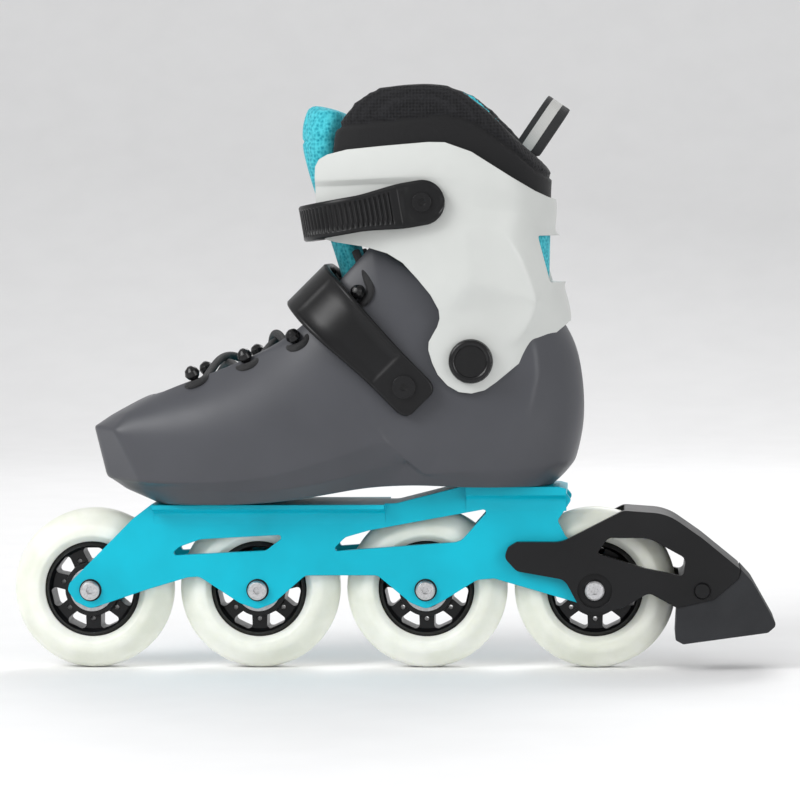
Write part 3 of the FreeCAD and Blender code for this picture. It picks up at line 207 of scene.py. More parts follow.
DARK_SHINE = 0.28
GREY = (0.062, 0.064, 0.073)
WHITE = (0.55, 0.565, 0.548)
BLACK = (0.005, 0.005, 0.0056)
CYAN = (0.0, 0.44, 0.58)
mats = {
    "urethane": urethane("urethane"),
    "hub_black": plastic("hub_black", BLACK, 0.30, Specular_IOR_Level=0.3),
    "steel": metal("bright_steel", (0.62, 0.62, 0.63), 0.28),
    "bearing_steel": metal("bearing_steel", (0.5, 0.5, 0.51), 0.3),
    "cyan_coat": painted("cyan_coat", CYAN),
    "brake_black": plastic("brake_black", (0.006, 0.006, 0.0068), 0.42, 0.00005),
    "brake_rubber": plastic("brake_rubber", (0.022, 0.023, 0.026), 0.62, 0.00008,
                            Specular_IOR_Level=0.3),
    "shell_grey": plastic("shell_grey", GREY, 0.38, 0.00003, 1.06, Specular_IOR_Level=0.35),
    "cuff_white": plastic("cuff_white", WHITE, 0.34, 0.00003, 1.03),
    "strap_black": plastic("strap_black", BLACK, 0.34),
    "buckle_black": plastic("buckle_black", BLACK, 0.22, Specular_IOR_Level=0.35),
    "knit_turquoise": fabric("knit_turquoise", (0.0, 0.22, 0.30), (0.07, 0.52, 0.60), 520.0, 0.0004),
    "mesh_black": fabric("mesh_black", (0.002, 0.002, 0.0025), (0.018, 0.018, 0.020), 620.0, 0.0006,
                         hexes=True),
    "smooth_black": fabric("smooth_black", (0.005, 0.005, 0.0055), (0.010, 0.010, 0.011), 3200.0,
                           0.00008, 0.7),
    "lace_black": webbing("lace_black", (0.006, 0.006, 0.007), (0.035, 0.035, 0.037), 0.0012),
    "tape_black": webbing("tape_black", (0.008, 0.008, 0.009), (0.03, 0.03, 0.032), 0.0011),
    "tape_grey": webbing("tape_grey", (0.44, 0.44, 0.43), (0.62, 0.62, 0.60), 0.0011),
    "footbed": fabric("footbed", (0.03, 0.03, 0.033), (0.07, 0.07, 0.075), 1500.0, 0.0002),
    "pale_floor": plastic("pale_floor", (0.86, 0.86, 0.865), 0.75, 0.0, 1.01),
    "shock_pad": plastic("shock_pad", (0.02, 0.34, 0.42), 0.6),
}


def dress(node, material):
    """Gives a CAD node its material in every slot."""
    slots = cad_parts[node].material_slots
    if not slots:
        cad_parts[node].data.materials.append(mats[material])
    for entry in slots:
        entry.material = mats[material]


DRESS = {
    "frame": "cyan_coat", "frame_bolts": "steel", "frame_washers": "steel",
    "brake_arm": "brake_black", "brake_pad": "brake_rubber", "brake_pad_screw": "brake_black",
    "shell": "shell_grey", "cuff": "cuff_white",
    "cuff_pivot_medial": "buckle_black", "cuff_pivot_lateral": "buckle_black",
    "liner_foot": "knit_turquoise", "liner_collar": "mesh_black", "tongue_foot": "knit_turquoise",
    "tongue_collar": "knit_turquoise", "insole": "footbed", "heel_shock_pad": "shock_pad",
    "pull_loop": "tape_black", "lace": "lace_black", "lace_hooks": "buckle_black",
    "eyelets": "buckle_black", "cuff_strap": "strap_black", "instep_strap": "strap_black",
    "cuff_strap_screws": "buckle_black", "instep_strap_screws": "buckle_black",
}
for number in range(1, 5):
    DRESS["tyre_%d" % number] = "urethane"
    DRESS["hub_%d" % number] = "hub_black"
    DRESS["axle_%d" % number] = "steel"
    DRESS["bearing_spacer_%d" % number] = "steel"
    DRESS["bearing_outer_%d" % number] = "bearing_steel"
    DRESS["bearing_inner_%d" % number] = "bearing_steel"
for prefix in ("cuff", "instep"):
    DRESS[prefix + "_buckle_base"] = "buckle_black"
    DRESS[prefix + "_buckle_lever"] = "buckle_black"
    DRESS[prefix + "_buckle_pin"] = "steel"
for node, material in DRESS.items():
    dress(node, material)

# ---- mesh tools ---------------------------------------------------------------------------------

JOIN_DISTANCE = 0.02 * MM
CAGE_LEVELS = 4


def shade_smooth(piece):
    """Smooth shading on every face."""
    for polygon in piece.data.polygons:
        polygon.use_smooth = True


def add_object(name, points, faces, material):
    """A mesh object from points in millimetres, with doubles joined and its faces turned outward."""
    mesh = bpy.data.meshes.new(name)
    mesh.from_pydata([Vector(point) * MM for point in points], [], faces)
    mesh.materials.append(mats[material])
    piece = bpy.data.objects.new(name, mesh)
    bpy.context.collection.objects.link(piece)
    work = bmesh.new()
    work.from_mesh(mesh)
    bmesh.ops.remove_doubles(work, verts=work.verts, dist=JOIN_DISTANCE)
    bmesh.ops.recalc_face_normals(work, faces=work.faces)
    work.to_mesh(mesh)
    work.free()
    shade_smooth(piece)
    return piece


def modify(piece, kind, **settings):
    """Adds a modifier with its settings and returns it."""
    modifier = piece.modifiers.new(kind.lower(), kind)
    for key, value in settings.items():
        setattr(modifier, key, value)
    return modifier


def bake_modifiers(piece):
    """Applies the piece's modifiers to its mesh."""
    graph = bpy.context.evaluated_depsgraph_get()
    graph.update()
    baked = bpy.data.meshes.new_from_object(piece.evaluated_get(graph), depsgraph=graph)
    piece.modifiers.clear()
    piece.data = baked


def cage(name, rows, material, creases, thickness, holes=()):
    """A cage of rows of half-width points, mirrored in Y = 0, creased and subdivided.

    rows is a list of rows of (x, y, z) on the +Y side or None where the cage is cut away; creases
    maps an edge ((row, column), (row, column)) to its sharpness. A row that ends at y = 0 closes
    on the mirror line.
    """
    points, index, faces = [], {}, []
    for side in (-1, 1):
        for r, row in enumerate(rows):
            for c, point in enumerate(row):
                if point is not None:
                    index[side, r, c] = len(points)
                    points.append((point[0], side * point[1], point[2]))
        for r in range(len(rows) - 1):
            for c in range(len(rows[0]) - 1):
                corners = [(side, r, c), (side, r, c + 1), (side, r + 1, c + 1), (side, r + 1, c)]
                if (r, c) in holes or any(corner not in index for corner in corners):
                    continue
                face = [index[corner] for corner in corners]
                faces.append(face if side > 0 else face[::-1])
    piece = add_object(name, points, faces, material)
    sharp = {}
    for (one, two), amount in creases.items():
        for side in (-1, 1):
            ends = []
            for r, c in (one, two):
                x, y, z = rows[r][c]
                ends.append((round(x, 2), round(side * y, 2), round(z, 2)))
            sharp[frozenset(ends)] = amount
    work = bmesh.new()
    work.from_mesh(piece.data)
    layer = work.edges.layers.float.new("crease_edge")
    for edge in work.edges:
        ends = frozenset(tuple(round(v / MM, 2) + 0.0 for v in vert.co) for vert in edge.verts)
        edge[layer] = sharp.get(ends, 0.0)
    work.to_mesh(piece.data)
    work.free()
    modify(piece, "SOLIDIFY", thickness=thickness * MM, offset=-1.0, use_even_offset=True,
           edge_crease_rim=0.6)
    modify(piece, "SUBSURF", levels=CAGE_LEVELS, render_levels=CAGE_LEVELS)
    return piece


def chain(row, first, last, amount):
    """Creases along a row, from one column to another."""
    return {((row, c), (row, c + 1)): amount for c in range(first, last)}


def rise(column, first, last, amount):
    """Creases up a column, from one row to another."""
    return {((r, column), (r + 1, column)): amount for r in range(first, last)}


# ---- shell --------------------------------------------------------------------------------------

SHELL_ROWS = [
    # sole edge
    [(-93, 0, 83.5), (-91, 20, 83.5), (-80, 33, 83.5), (-50, 37, 83.5), (-20, 34, 85.5),
     (10, 33, 91.6), (26, 32.5, 92.6), (41, 32, 93.0), (62, 31, 91.6), (85, 30, 91.6),
     (102, 20, 91.6), (106, 0, 91.6)],
    # lower line of the side band
    [(-110, 0, 90.5), (-106, 22, 90.4), (-92, 38.5, 91.6), (-44, 44.5, 90.4), (-14.7, 43, 92.7),
     (22, 40, 102.5), (34, 37.0, 104.4), (41.4, 35.0, 97.6), (62, 34.0, 95.0), (88, 33.5, 95.5),
     (106, 22, 96.5), (113, 0, 97.0)],
    # upper line of the side band
    [(-119.5, 0, 97.0), (-115, 23, 97.0), (-95, 42.0, 95.4), (-44, 47.6, 95.0), (-10, 47.2, 104.5),
     (24, 44.6, 115.8), (34, 40.6, 106.0), (43, 37.0, 99.0), (62, 37.6, 100.0), (90, 36.0, 101.0),
     (112.0, 23, 103.0), (118, 0, 104.0)],
    # widest line
    [(-125.2, 0, 120.5), (-121, 24, 122.2), (-109, 39.0, 121.0), (-62, 49.5, 118), (-14, 49.3, 126.0),
     (17, 45.4, 124.0), (42, 41.2, 112.5), (55, 40.6, 114.0), (72, 40.9, 117.0), (92, 39.4, 121.0),
     (116, 24, 121.0), (124.0, 0, 125.0)],
    # shoulder
    [(-117, 0, 126.4), (-113, 22, 127.0), (-100, 34.4, 131.5), (-62, 42, 136), (-20, 43.4, 145.5),
     (4, 43.6, 145.5), (34, 42.4, 134.0), (53, 41.4, 134.4), (73, 39.2, 133.5), (98, 35.2, 146),
     (114.5, 20, 152.0), (121.5, 0, 152.0)],
    # top line beside the throat, then the rim under the cuff
    [(-95, 0, 138.3), (-94, 14, 138.0), (-88, 25.5, 139.6), (-57, 29.0, 149.7), (-22, 31.0, 165.6),
     (2, 33.6, 178), (22, 36.4, 180), (38, 37.4, 178), (70, 37.4, 172), (97, 33.0, 170),
     (110.5, 20, 167.0), (116.0, 0, 167.0)],
]
SHELL_RIM = [None, None, (-84, 23.0, 139.7), (-55, 24.0, 150.8), (-20, 26.0, 166.9), (2.0, 28.5, 196.0),
             (17.5, 30.6, 213.0), (33, 32.8, 201.0), (68, 34.0, 193.0), (90, 27.0, 186), (101, 16, 182),
             (105, 0, 181)]
SHELL_CREASES = {
    **chain(0, 0, 11, 0.9), **chain(1, 0, 7, 0.9), **chain(2, 0, 7, 0.95), **chain(2, 7, 11, 0.4),
    **chain(3, 0, 2, 0.95), **rise(2, 2, 3, 0.95), **rise(1, 2, 3, 0.7), **rise(2, 3, 4, 0.5),
    **rise(5, 2, 4, 0.85), **rise(7, 1, 3, 0.85), **rise(6, 1, 2, 0.6), **chain(4, 7, 10, 0.6),
    **rise(8, 4, 5, 0.6), **rise(9, 3, 5, 0.7), **rise(6, 5, 6, 0.7), **chain(5, 2, 4, 0.6),
    **chain(4, 0, 2, 0.5),
}


def build_shell():
    """The faceted lower boot: outer skin from the cage, a closed sole, and a real wall."""
    sole = [(x, 0.0, z) for x, y, z in SHELL_ROWS[0]]
    rows = [sole] + SHELL_ROWS + [SHELL_RIM]
    moved = {}
    for (one, two), amount in SHELL_CREASES.items():
        moved[(one[0] + 1, one[1]), (two[0] + 1, two[1])] = amount
    piece = cage("boot_shell", rows, "shell_grey", moved, thickness=3.0)
    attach(piece, "root")
    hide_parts("shell")


build_shell()

# ---- cuff ---------------------------------------------------------------------------------------

# Columns of the cage run from the front edge to the middle of the back; rows from the top edge down.
CUFF_ROWS = [
    [(-16, 28.5, 259.0), (4, 36.5, 263.0), (25, 41.5, 265.0), (52, 43.8, 266.0), (68, 43.4, 262.0),
     (87, 38.5, 250.0), (99, 27, 243.0), (110, 0, 238.0)],
    [(-16, 28.0, 242.0), (4, 37.4, 242.5), (25, 42.8, 243.4), (48, 44.8, 244.5), (70, 43.8, 241.0),
     (88, 38.4, 235.0), (100, 27, 231.0), (111.0, 0, 228.0)],
    [(-16, 26.4, 239.0), (4, 35.2, 239.3), (25, 40.8, 240.4), (46, 44.2, 239.0), (68, 43.0, 229.0),
     (88, 37.2, 226.0), (99.5, 26.3, 221.5), (110.4, 0, 220.5)],
    [(-16, 28.0, 214.5), (3, 36.4, 213.0), (26, 41.2, 212.0), (44, 43.4, 214.0), (65, 44.4, 218.0),
     (87, 39.6, 218.0), (98.5, 27.5, 214.7), (109.2, 0, 214.7)],
    [(-16, 29.0, 205.0), (3, 37.0, 204.0), (28, 41.4, 203.0), (38, 42.4, 202.0), (66, 45.6, 193.2),
     (98, 35.6, 182.6), (104.5, 26.0, 191.9), (112.0, 0, 191.9)],
    [None, None, (28, 42.0, 188.0), (40, 42.6, 186.0), (52.5, 45.4, 177.8), (97, 35.0, 178.0),
     (107.5, 24.0, 184), (115.0, 0, 184.0)],
    [None, None, (34, 43.0, 164.0), (44, 43.4, 164.0), (56, 44.4, 163.0), (87, 40.6, 158.9),
     (109.5, 22.0, 174.5), (117.0, 0, 174.5)],
    [None, None, (36, 43.0, 140.0), (48, 43.4, 138.0), (66, 44.2, 130.0), (84, 39.8, 138.0),
     (108.5, 21.5, 163.0), (115.3, 0, 165.0)],
]
CUFF_CREASES = {
    **chain(1, 0, 5, 0.9), **chain(2, 0, 3, 0.9), **chain(2, 3, 5, 0.5), **chain(3, 3, 5, 0.85),
    **rise(5, 3, 6, 0.85), **chain(4, 3, 5, 0.8), ((4, 4), (5, 4)): 0.8, **rise(4, 3, 4, 0.5),
    ((3, 6), (3, 7)): 0.9, ((4, 6), (4, 7)): 0.9, ((3, 6), (4, 6)): 0.9,
}
WINDOW_CELL = (3, 6)
CUFF_EDGE = [
    (-10.4, 244.0), (-10.2, 249.0), (-8.2, 252.6), (-4.0, 254.9), (6.0, 257.2), (24.4, 258.8),
    (46.0, 260.4), (54.0, 260.2), (66.7, 255.6), (86.7, 242.8), (97.0, 236.6), (103.3, 233.6),
    (125.0, 227.0), (125.0, 168.0), (113.5, 172.4), (78.0, 143.6), (72.6, 139.9), (66.0, 138.4),
    (60.0, 139.2), (54.6, 142.4), (49.9, 147.6), (47.2, 153.4), (45.4, 159.6), (45.6, 163.6),
    (49.8, 171.0), (51.0, 174.8), (50.6, 179.0), (46.6, 186.4), (40.2, 194.2), (33.0, 202.0),
    (25.6, 206.6), (15.0, 209.8), (0.0, 212.2), (-5.4, 213.6), (-8.2, 222.0), (-10.0, 230.0),
]


def cut_to_outline(piece, corners):
    """Keeps what lies inside a closed outline of (x, z), seen along Y."""
    count = len(corners)
    points = [(x, y, z) for y in (-90.0, 90.0) for x, z in corners]
    faces = [[i, (i + 1) % count, count + (i + 1) % count, count + i] for i in range(count)]
    faces += [list(range(count))[::-1], list(range(count, 2 * count))]
    tool = add_object("cutting_outline", points, faces, "cuff_white")
    bake_modifiers(piece)
    modify(piece, "BOOLEAN", operation="INTERSECT", solver="EXACT", object=tool)
    bake_modifiers(piece)
    bpy.data.objects.remove(tool)


def build_cuff():
    """The white upper: one moulded wall with a rear window and an open front."""
    piece = cage("boot_cuff", CUFF_ROWS, "cuff_white", CUFF_CREASES, thickness=2.9,
                 holes={WINDOW_CELL})
    cut_to_outline(piece, CUFF_EDGE)
    modify(piece, "BEVEL", width=0.5 * MM, segments=2, limit_method="ANGLE",
           angle_limit=math.radians(50), harden_normals=True)
    bake_modifiers(piece)
    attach(piece, "cuff_body")
    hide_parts("cuff")


build_cuff()

# ---- lofts and padding --------------------------------------------------------------------------

PUFF_PRESSURE = 4.0
PUFF_STIFFNESS = 15.0
PUFF_FRAMES = 20


def loft(name, loops, material, capped=True):
    """A skin through closed loops of equal length, in millimetres."""
    size = len(loops[0])
    points = [point for loop in loops for point in loop]
    faces = []
    for i in range(len(loops) - 1):
        for j in range(size):
            k = (j + 1) % size
            faces.append([i * size + j, i * size + k, (i + 1) * size + k, (i + 1) * size + j])
    if capped:
        faces.append(list(range(size))[::-1])
        faces.append([(len(loops) - 1) * size + j for j in range(size)])
    return add_object(name, points, faces, material)


def puff(piece, voxel, cap):
    """Swells a closed piece by cloth pressure, no point further than the cap, in millimetres."""
    modify(piece, "REMESH", mode="VOXEL", voxel_size=voxel * MM)
    bake_modifiers(piece)
    start = [vertex.co.copy() for vertex in piece.data.vertices]
    cloth = modify(piece, "CLOTH")
    cloth.settings.quality = 5
    cloth.settings.use_pressure = True
    cloth.settings.uniform_pressure_force = PUFF_PRESSURE
    cloth.settings.effector_weights.gravity = 0.0
    cloth.settings.tension_stiffness = PUFF_STIFFNESS
    cloth.settings.compression_stiffness = PUFF_STIFFNESS
    cloth.point_cache.frame_start = 1
    cloth.point_cache.frame_end = PUFF_FRAMES
    scene = bpy.context.scene
    for step in range(1, PUFF_FRAMES + 1):
        scene.frame_set(step)
    bake_modifiers(piece)
    scene.frame_set(1)
    for vertex, was in zip(piece.data.vertices, start):
        move = vertex.co - was
        if move.length > cap * MM:
            vertex.co = was + move.normalized() * cap * MM


def soften(piece):
    """Smooths and refines a padded piece."""
    modify(piece, "SMOOTH", factor=0.5, iterations=3)
    modify(piece, "SUBSURF", levels=1, render_levels=1)
    bake_modifiers(piece)
    shade_smooth(piece)


def groove(piece, distance_to, width, depth):
    """Presses a seam into the piece where distance_to(point) is small; lengths in millimetres."""
    for vertex in piece.data.vertices:
        away = distance_to(vertex.co / MM)
        if away < width:
            dip = depth * MM * (1 + math.cos(math.pi * away / width)) / 2
            vertex.co -= vertex.normal * dip


def smoothstep(low, high, value):
    """A soft step from 0 at low to 1 at high."""
    t = min(max((value - low) / (high - low), 0.0), 1.0)
    return t * t * (3 - 2 * t)


def along(line, x):
    """The height of a line of (x, z) at x."""
    for (x0, z0), (x1, z1) in zip(line, line[1:]):
        if x0 <= x <= x1:
            return z0 + (z1 - z0) * (x - x0) / (x1 - x0)
    return line[0][1] if x < line[0][0] else line[-1][1]


# ---- liner and tongue ---------------------------------------------------------------------------

# Top line and seam line of the collar seen from the side: x, z.
COLLAR_TOP = [(-3.5, 258.0), (-2.5, 264.0), (0.0, 270.5), (4.0, 276.8), (9.0, 281.6), (15.0, 284.8),
              (22.0, 286.8), (31.0, 288.0), (41.0, 288.4), (50.0, 288.0), (58.0, 286.4), (65.0, 283.4),
              (72.0, 279.2), (79.0, 273.8), (86.0, 267.4), (93.0, 261.0), (99.0, 255.6), (104.5, 249.5)]
COLLAR_SEAM = [(-4.0, 268.5), (30.0, 271.4), (51.0, 273.6), (61.0, 272.6), (69.0, 269.1), (87.0, 256.6),
               (97.0, 247.6), (104.5, 243.5)]
# Outline of the collar seen from above, with its lower edge: x, half width, z.
COLLAR_PLAN = [(-2.0, 25.0, 228.0), (-0.8, 28.2, 227.0), (2.0, 31.0, 226.0), (7.0, 33.8, 225.0),
               (12.0, 35.6, 224.0), (19.0, 37.0, 222.5), (26.0, 38.0, 221.0), (33.0, 38.8, 217.0),
               (40.0, 39.2, 213.0), (48.0, 39.4, 208.0), (56.0, 39.2, 204.0), (63.0, 38.4, 201.0),
               (70.0, 37.2, 198.0), (77.0, 35.0, 194.0), (83.0, 32.0, 190.0), (89.0, 28.0, 187.0),
               (94.0, 23.2, 184.0), (98.5, 17.6, 183.0), (101.8, 11.6, 182.0), (103.8, 5.8, 181.5),
               (104.4, 0.0, 181.0)]
COLLAR_MIDDLE = Vector((52.0, 0.0, 0.0))
COLLAR_FOAM = 10.0
LINING_TOP = 252.0
LINER_SOCK_TOP = 224.0


def collar_top(x, y):
    """Height before the foam settles; the outer side stands a little higher towards the rear."""
    top = along(COLLAR_TOP, x) + 2.6 - 1.6 * smoothstep(60.0, 95.0, x)
    if y > 0:
        top += 2.0 * smoothstep(50.0, 72.0, x) * smoothstep(98.0, 86.0, x)
    return top


def build_collar():
    """The padded collar: a foam band swollen by cloth pressure, seamed between mesh and knit."""
    around = COLLAR_PLAN + [(x, -y, z) for x, y, z in COLLAR_PLAN[-2::-1]]
    loops = []
    for x, y, low in around:
        top = collar_top(x, y)
        inward = (COLLAR_MIDDLE - Vector((x, y, 0))).normalized()
        heights = [(0.6, low), (0.2, (low + 236) / 2), (-0.2, 240.0), (-1.0, (240 + top) / 2),
                   (-0.4, top - 9.0), (1.2, top - 3.4), (4.6, top), (8.4, top - 2.6),
                   (COLLAR_FOAM + 0.6, top - 9.0), (COLLAR_FOAM + 1.0, (235 + top) / 2),
                   (COLLAR_FOAM, (low + 236) / 2), (COLLAR_FOAM - 1.0, low)]
        loops.append([(x + inward.x * inset, y + inward.y * inset, z) for inset, z in heights])
    piece = loft("liner_collar_padded", loops, "mesh_black")
    puff(piece, 2.4, 1.4)
    soften(piece)
    groove(piece, lambda p: abs(p.z - along(COLLAR_SEAM, p.x)), 1.8, 1.3)
    for name in ("smooth_black", "knit_turquoise"):
        piece.data.materials.append(mats[name])
    for polygon in piece.data.polygons:
        centre = polygon.center / MM
        away = centre - COLLAR_MIDDLE
        away.z = 0.0
        inner = away.dot(polygon.normal) < -0.3 * away.length and centre.x > 4
        if centre.z < LINER_SOCK_TOP - 0.02 * centre.x or (inner and centre.z > LINING_TOP):
            polygon.material_index = 2
        elif centre.z < along(COLLAR_SEAM, centre.x):
            polygon.material_index = 1
    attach(piece, "cuff_body")
    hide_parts("liner_collar")


# Level loops of the sock from the sole up: z, front x, rear x, half width in front and behind.
SOCK_STATIONS = [
    (92.0, -86.0, 96.0, 27.0, 24.0), (100.0, -104.0, 104.0, 36.0, 28.0),
    (122.0, -112.0, 112.0, 41.0, 31.0), (136.0, -88.0, 112.0, 40.0, 31.0),
    (150.0, -52.0, 109.0, 35.5, 30.5), (163.0, -22.0, 106.0, 31.5, 29.5),
    (176.0, -8.0, 102.0, 30.0, 28.5),
]
SOCK_SOLE = 6.0


def build_liner_foot():
    """The sock of the liner inside the shell, seen down the ankle shaft and through the throat."""
    outer, inner = [], []
    for number, (z, front, rear, fore, heel) in enumerate(SOCK_STATIONS):
        sole = SOCK_SOLE if number == 0 else 0.0
        outer.append(egg(z, front, rear, fore, heel))
        inner.append(egg(z + sole, front + 6, rear - 6, fore - 5, heel - 5))
    piece = loft("liner_foot_sock", outer + inner[::-1], "knit_turquoise")
    modify(piece, "SUBSURF", levels=2, render_levels=2)
    bake_modifiers(piece)
    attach(piece, "root")
    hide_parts("liner_foot")


def signed_power(value, power):
    """A power of the size of a value, with the value's sign."""
    return math.copysign(abs(value) ** power, value)


def egg(z, front, rear, fore, heel, count=28, blunt=2.5):
    """A blunt egg-shaped loop at one height."""
    loop = []
    for i in range(count):
        turn = 2 * math.pi * (i + 0.5) / count
        u = signed_power(math.cos(turn), 2 / blunt)
        v = signed_power(math.sin(turn), 2 / blunt)
        half = fore + (heel - fore) * (u + 1) / 2
        loop.append(((front + rear) / 2 + (rear - front) / 2 * u, half * v, z))
    return loop


# Middle line of the tongue: x, z, half width, half thickness.
TONGUE_LINE = [(-84, 128, 14, 1.8), (-70, 133.5, 18, 2.6), (-50, 141.0, 20, 3.2), (-28, 149.5, 20, 3.6),
               (-10, 160.5, 20, 4.0), (4, 176, 20, 4.2), (6.5, 194, 20, 4.6), (1.5, 212, 21, 5.0),
               (-3.5, 230, 23, 5.6), (-7.5, 246, 25, 6.8), (-9.0, 259, 27, 8.8), (-8.0, 269, 27.5, 10.2),
               (-5.0, 278.6, 26, 9.6)]
TONGUE_CURL = 0.16
TONGUE_SIDE_SEAM = 15.5
TONGUE_TOP_SEAM = 262.0


def build_tongue():
    """The padded tongue from under the lace to above the collar; its top leans with the cuff."""
    loops = []
    for i, (x, z, half, thick) in enumerate(TONGUE_LINE):
        before = Vector(TONGUE_LINE[max(i - 1, 0)][:2])
        after = Vector(TONGUE_LINE[min(i + 1, len(TONGUE_LINE) - 1)][:2])
        run = (after - before).normalized()
        normal = Vector((-run.y, run.x))
        loop = []
        for k in range(20):
            turn = 2 * math.pi * k / 20
            side = signed_power(math.cos(turn), 0.7) * half
            lift = signed_power(math.sin(turn), 0.9) * thick
            curl = (side / half) ** 2 * half * TONGUE_CURL
            point = normal * (lift - curl)
            loop.append((x + point.x, side, z + point.y))
        loops.append(loop)
    piece = loft("tongue_padded", loops, "knit_turquoise")
    puff(piece, 3.0, 1.4)
    soften(piece)
    groove(piece, lambda p: abs(abs(p.y) - TONGUE_SIDE_SEAM), 1.6, 0.7)
    groove(piece, lambda p: abs(p.z - TONGUE_TOP_SEAM) if p.x < 0 else math.inf, 1.8, 0.8)
    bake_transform(piece)
    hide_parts("tongue_foot", "tongue_collar")


# The pull loop rises along its own line, leaned to the rear from its foot (x, z).
LOOP_FOOT = (92.4, 256.4)
LOOP_LEAN = math.radians(34.4)
LOOP_HALF = 8.0
LOOP_RISE = 28.2
LOOP_BEND = 6.0
LOOP_BELLY = 0.6
TAPE_ACROSS = [-6.4, -6.2, -5.0, -4.8, 3.4, 3.6, 6.2, 6.4]
TAPE_HALF = 0.75
# Faces of one loop's skin that lie between the stripe's edges, on the outer and the inner side.
STRIPE_FACES = (3, 11)


def build_pull_loop():
    """An arch of tape over the back of the collar, faced to the sides, with a grey middle stripe."""
    shoulder = LOOP_RISE - LOOP_BEND
    leg = [(-LOOP_HALF - LOOP_BELLY * math.sin(math.pi * i / 8), shoulder * i / 8) for i in range(9)]
    path = [(y, up, -1.0, 0.0) for y, up in leg]
    for i in range(1, 12):
        turn = math.pi * i / 12
        path.append((-LOOP_HALF * math.cos(turn), shoulder + LOOP_BEND * math.sin(turn),
                     -math.cos(turn), math.sin(turn)))
    path += [(-y, up, 1.0, 0.0) for y, up in reversed(leg)]
    loops = []
    for y, up, ny, nz in path:
        loop = []
        for side in (1, -1):
            for u in TAPE_ACROSS[::side]:
                thick = TAPE_HALF * side * (0.6 if abs(u) > 6.3 else 1.0)
                w = up + nz * thick
                loop.append((LOOP_FOOT[0] + u * math.cos(LOOP_LEAN) + w * math.sin(LOOP_LEAN),
                             y + ny * thick,
                             LOOP_FOOT[1] - u * math.sin(LOOP_LEAN) + w * math.cos(LOOP_LEAN)))
        loops.append(loop)
    piece = loft("heel_pull_loop", loops, "tape_black")
    piece.data.materials.append(mats["tape_grey"])
    size = 2 * len(TAPE_ACROSS)
    for number, polygon in enumerate(piece.data.polygons):
        if number < (len(loops) - 1) * size and number % size in STRIPE_FACES:
            polygon.material_index = 1
    modify(piece, "SUBSURF", levels=1, render_levels=1)
    bake_modifiers(piece)
    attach(piece, "cuff_body")
    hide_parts("pull_loop")


build_liner_foot()
build_collar()
build_tongue()
build_pull_loop()

# ---- straps -------------------------------------------------------------------------------------

STRAP_THICKNESS = 3.0


def strap_path(inner_half, reach, corner, tail, step):
    """Points along the inner face of a U strap, with its whole length.

    A point holds its distance, x, y and outward direction; x and y are from the screw and the
    middle plane.
    """
    front = -(reach - STRAP_THICKNESS)
    radius = corner - STRAP_THICKNESS
    straight = tail - (front + radius)
    turn = math.pi * radius / 2
    flat = 2 * (inner_half - radius)
    total = 2 * straight + 2 * turn + flat
    count = round(total / step)
    path = []
    for i in range(count + 1):
        s = total * i / count
        if s <= straight:
            path.append((s, tail - s, -inner_half, 0.0, -1.0))
        elif s <= straight + turn:
            a = (s - straight) / radius
            path.append((s, front + radius - radius * math.sin(a),
                         -(inner_half - radius) - radius * math.cos(a), -math.sin(a), -math.cos(a)))
        elif s <= straight + turn + flat:
            path.append((s, front, -(inner_half - radius) + (s - straight - turn), -1.0, 0.0))
        elif s <= straight + 2 * turn + flat:
            a = (s - straight - turn - flat) / radius
            path.append((s, front + radius - radius * math.cos(a),
                         inner_half - radius + radius * math.sin(a), -math.cos(a), math.sin(a)))
        else:
            path.append((s, front + radius + (s - straight - 2 * turn - flat), inner_half, 0.0, 1.0))
    return path, total


def strap_band(name, path, spans, width_at, height_at, low_at, screw, tilt, material):
    """A band over the path: spans run from -1 to 1 over its width, heights are from its inner face."""
    turn = math.radians(tilt)
    points, faces = [], []
    for s, x, y, nx, ny in path:
        low, high = width_at(s)
        section = [(u, height_at(s, u)) for u in spans] + [(u, low_at(s, u)) for u in reversed(spans)]
        for u, height in section:
            z = low + (high - low) * (u + 1) / 2
            px, py = x + nx * height, y + ny * height
            points.append((screw[0] + px * math.cos(turn) + z * math.sin(turn), py,
                           screw[1] - px * math.sin(turn) + z * math.cos(turn)))
    size = 2 * len(spans)
    for i in range(len(path) - 1):
        for j in range(size):
            k = (j + 1) % size
            faces.append([i * size + j, (i + 1) * size + j, (i + 1) * size + k, i * size + k])
    faces.append(list(range(size)))
    faces.append([(len(path) - 1) * size + j for j in range(size)][::-1])
    return add_object(name, points, faces, material)


def round_end(s, radius, half):
    """Half width near a rounded end whose centre lies one radius in."""
    if s >= radius:
        return half
    return half * math.sqrt(max(1.0 - ((radius - s) / radius) ** 2, 0.004))


LADDER_SCREW = (43.0, 231.3)
LADDER_TILT = -9.5
LADDER_SPANS = [-1.0, -0.97, -0.9, -0.8, -0.74, -0.7, -0.35, 0.0, 0.35, 0.7, 0.74, 0.8, 0.9, 0.97, 1.0]
RIB_PITCH = 2.4
RIBS_START = 26.0
LADDER_END = 11.0


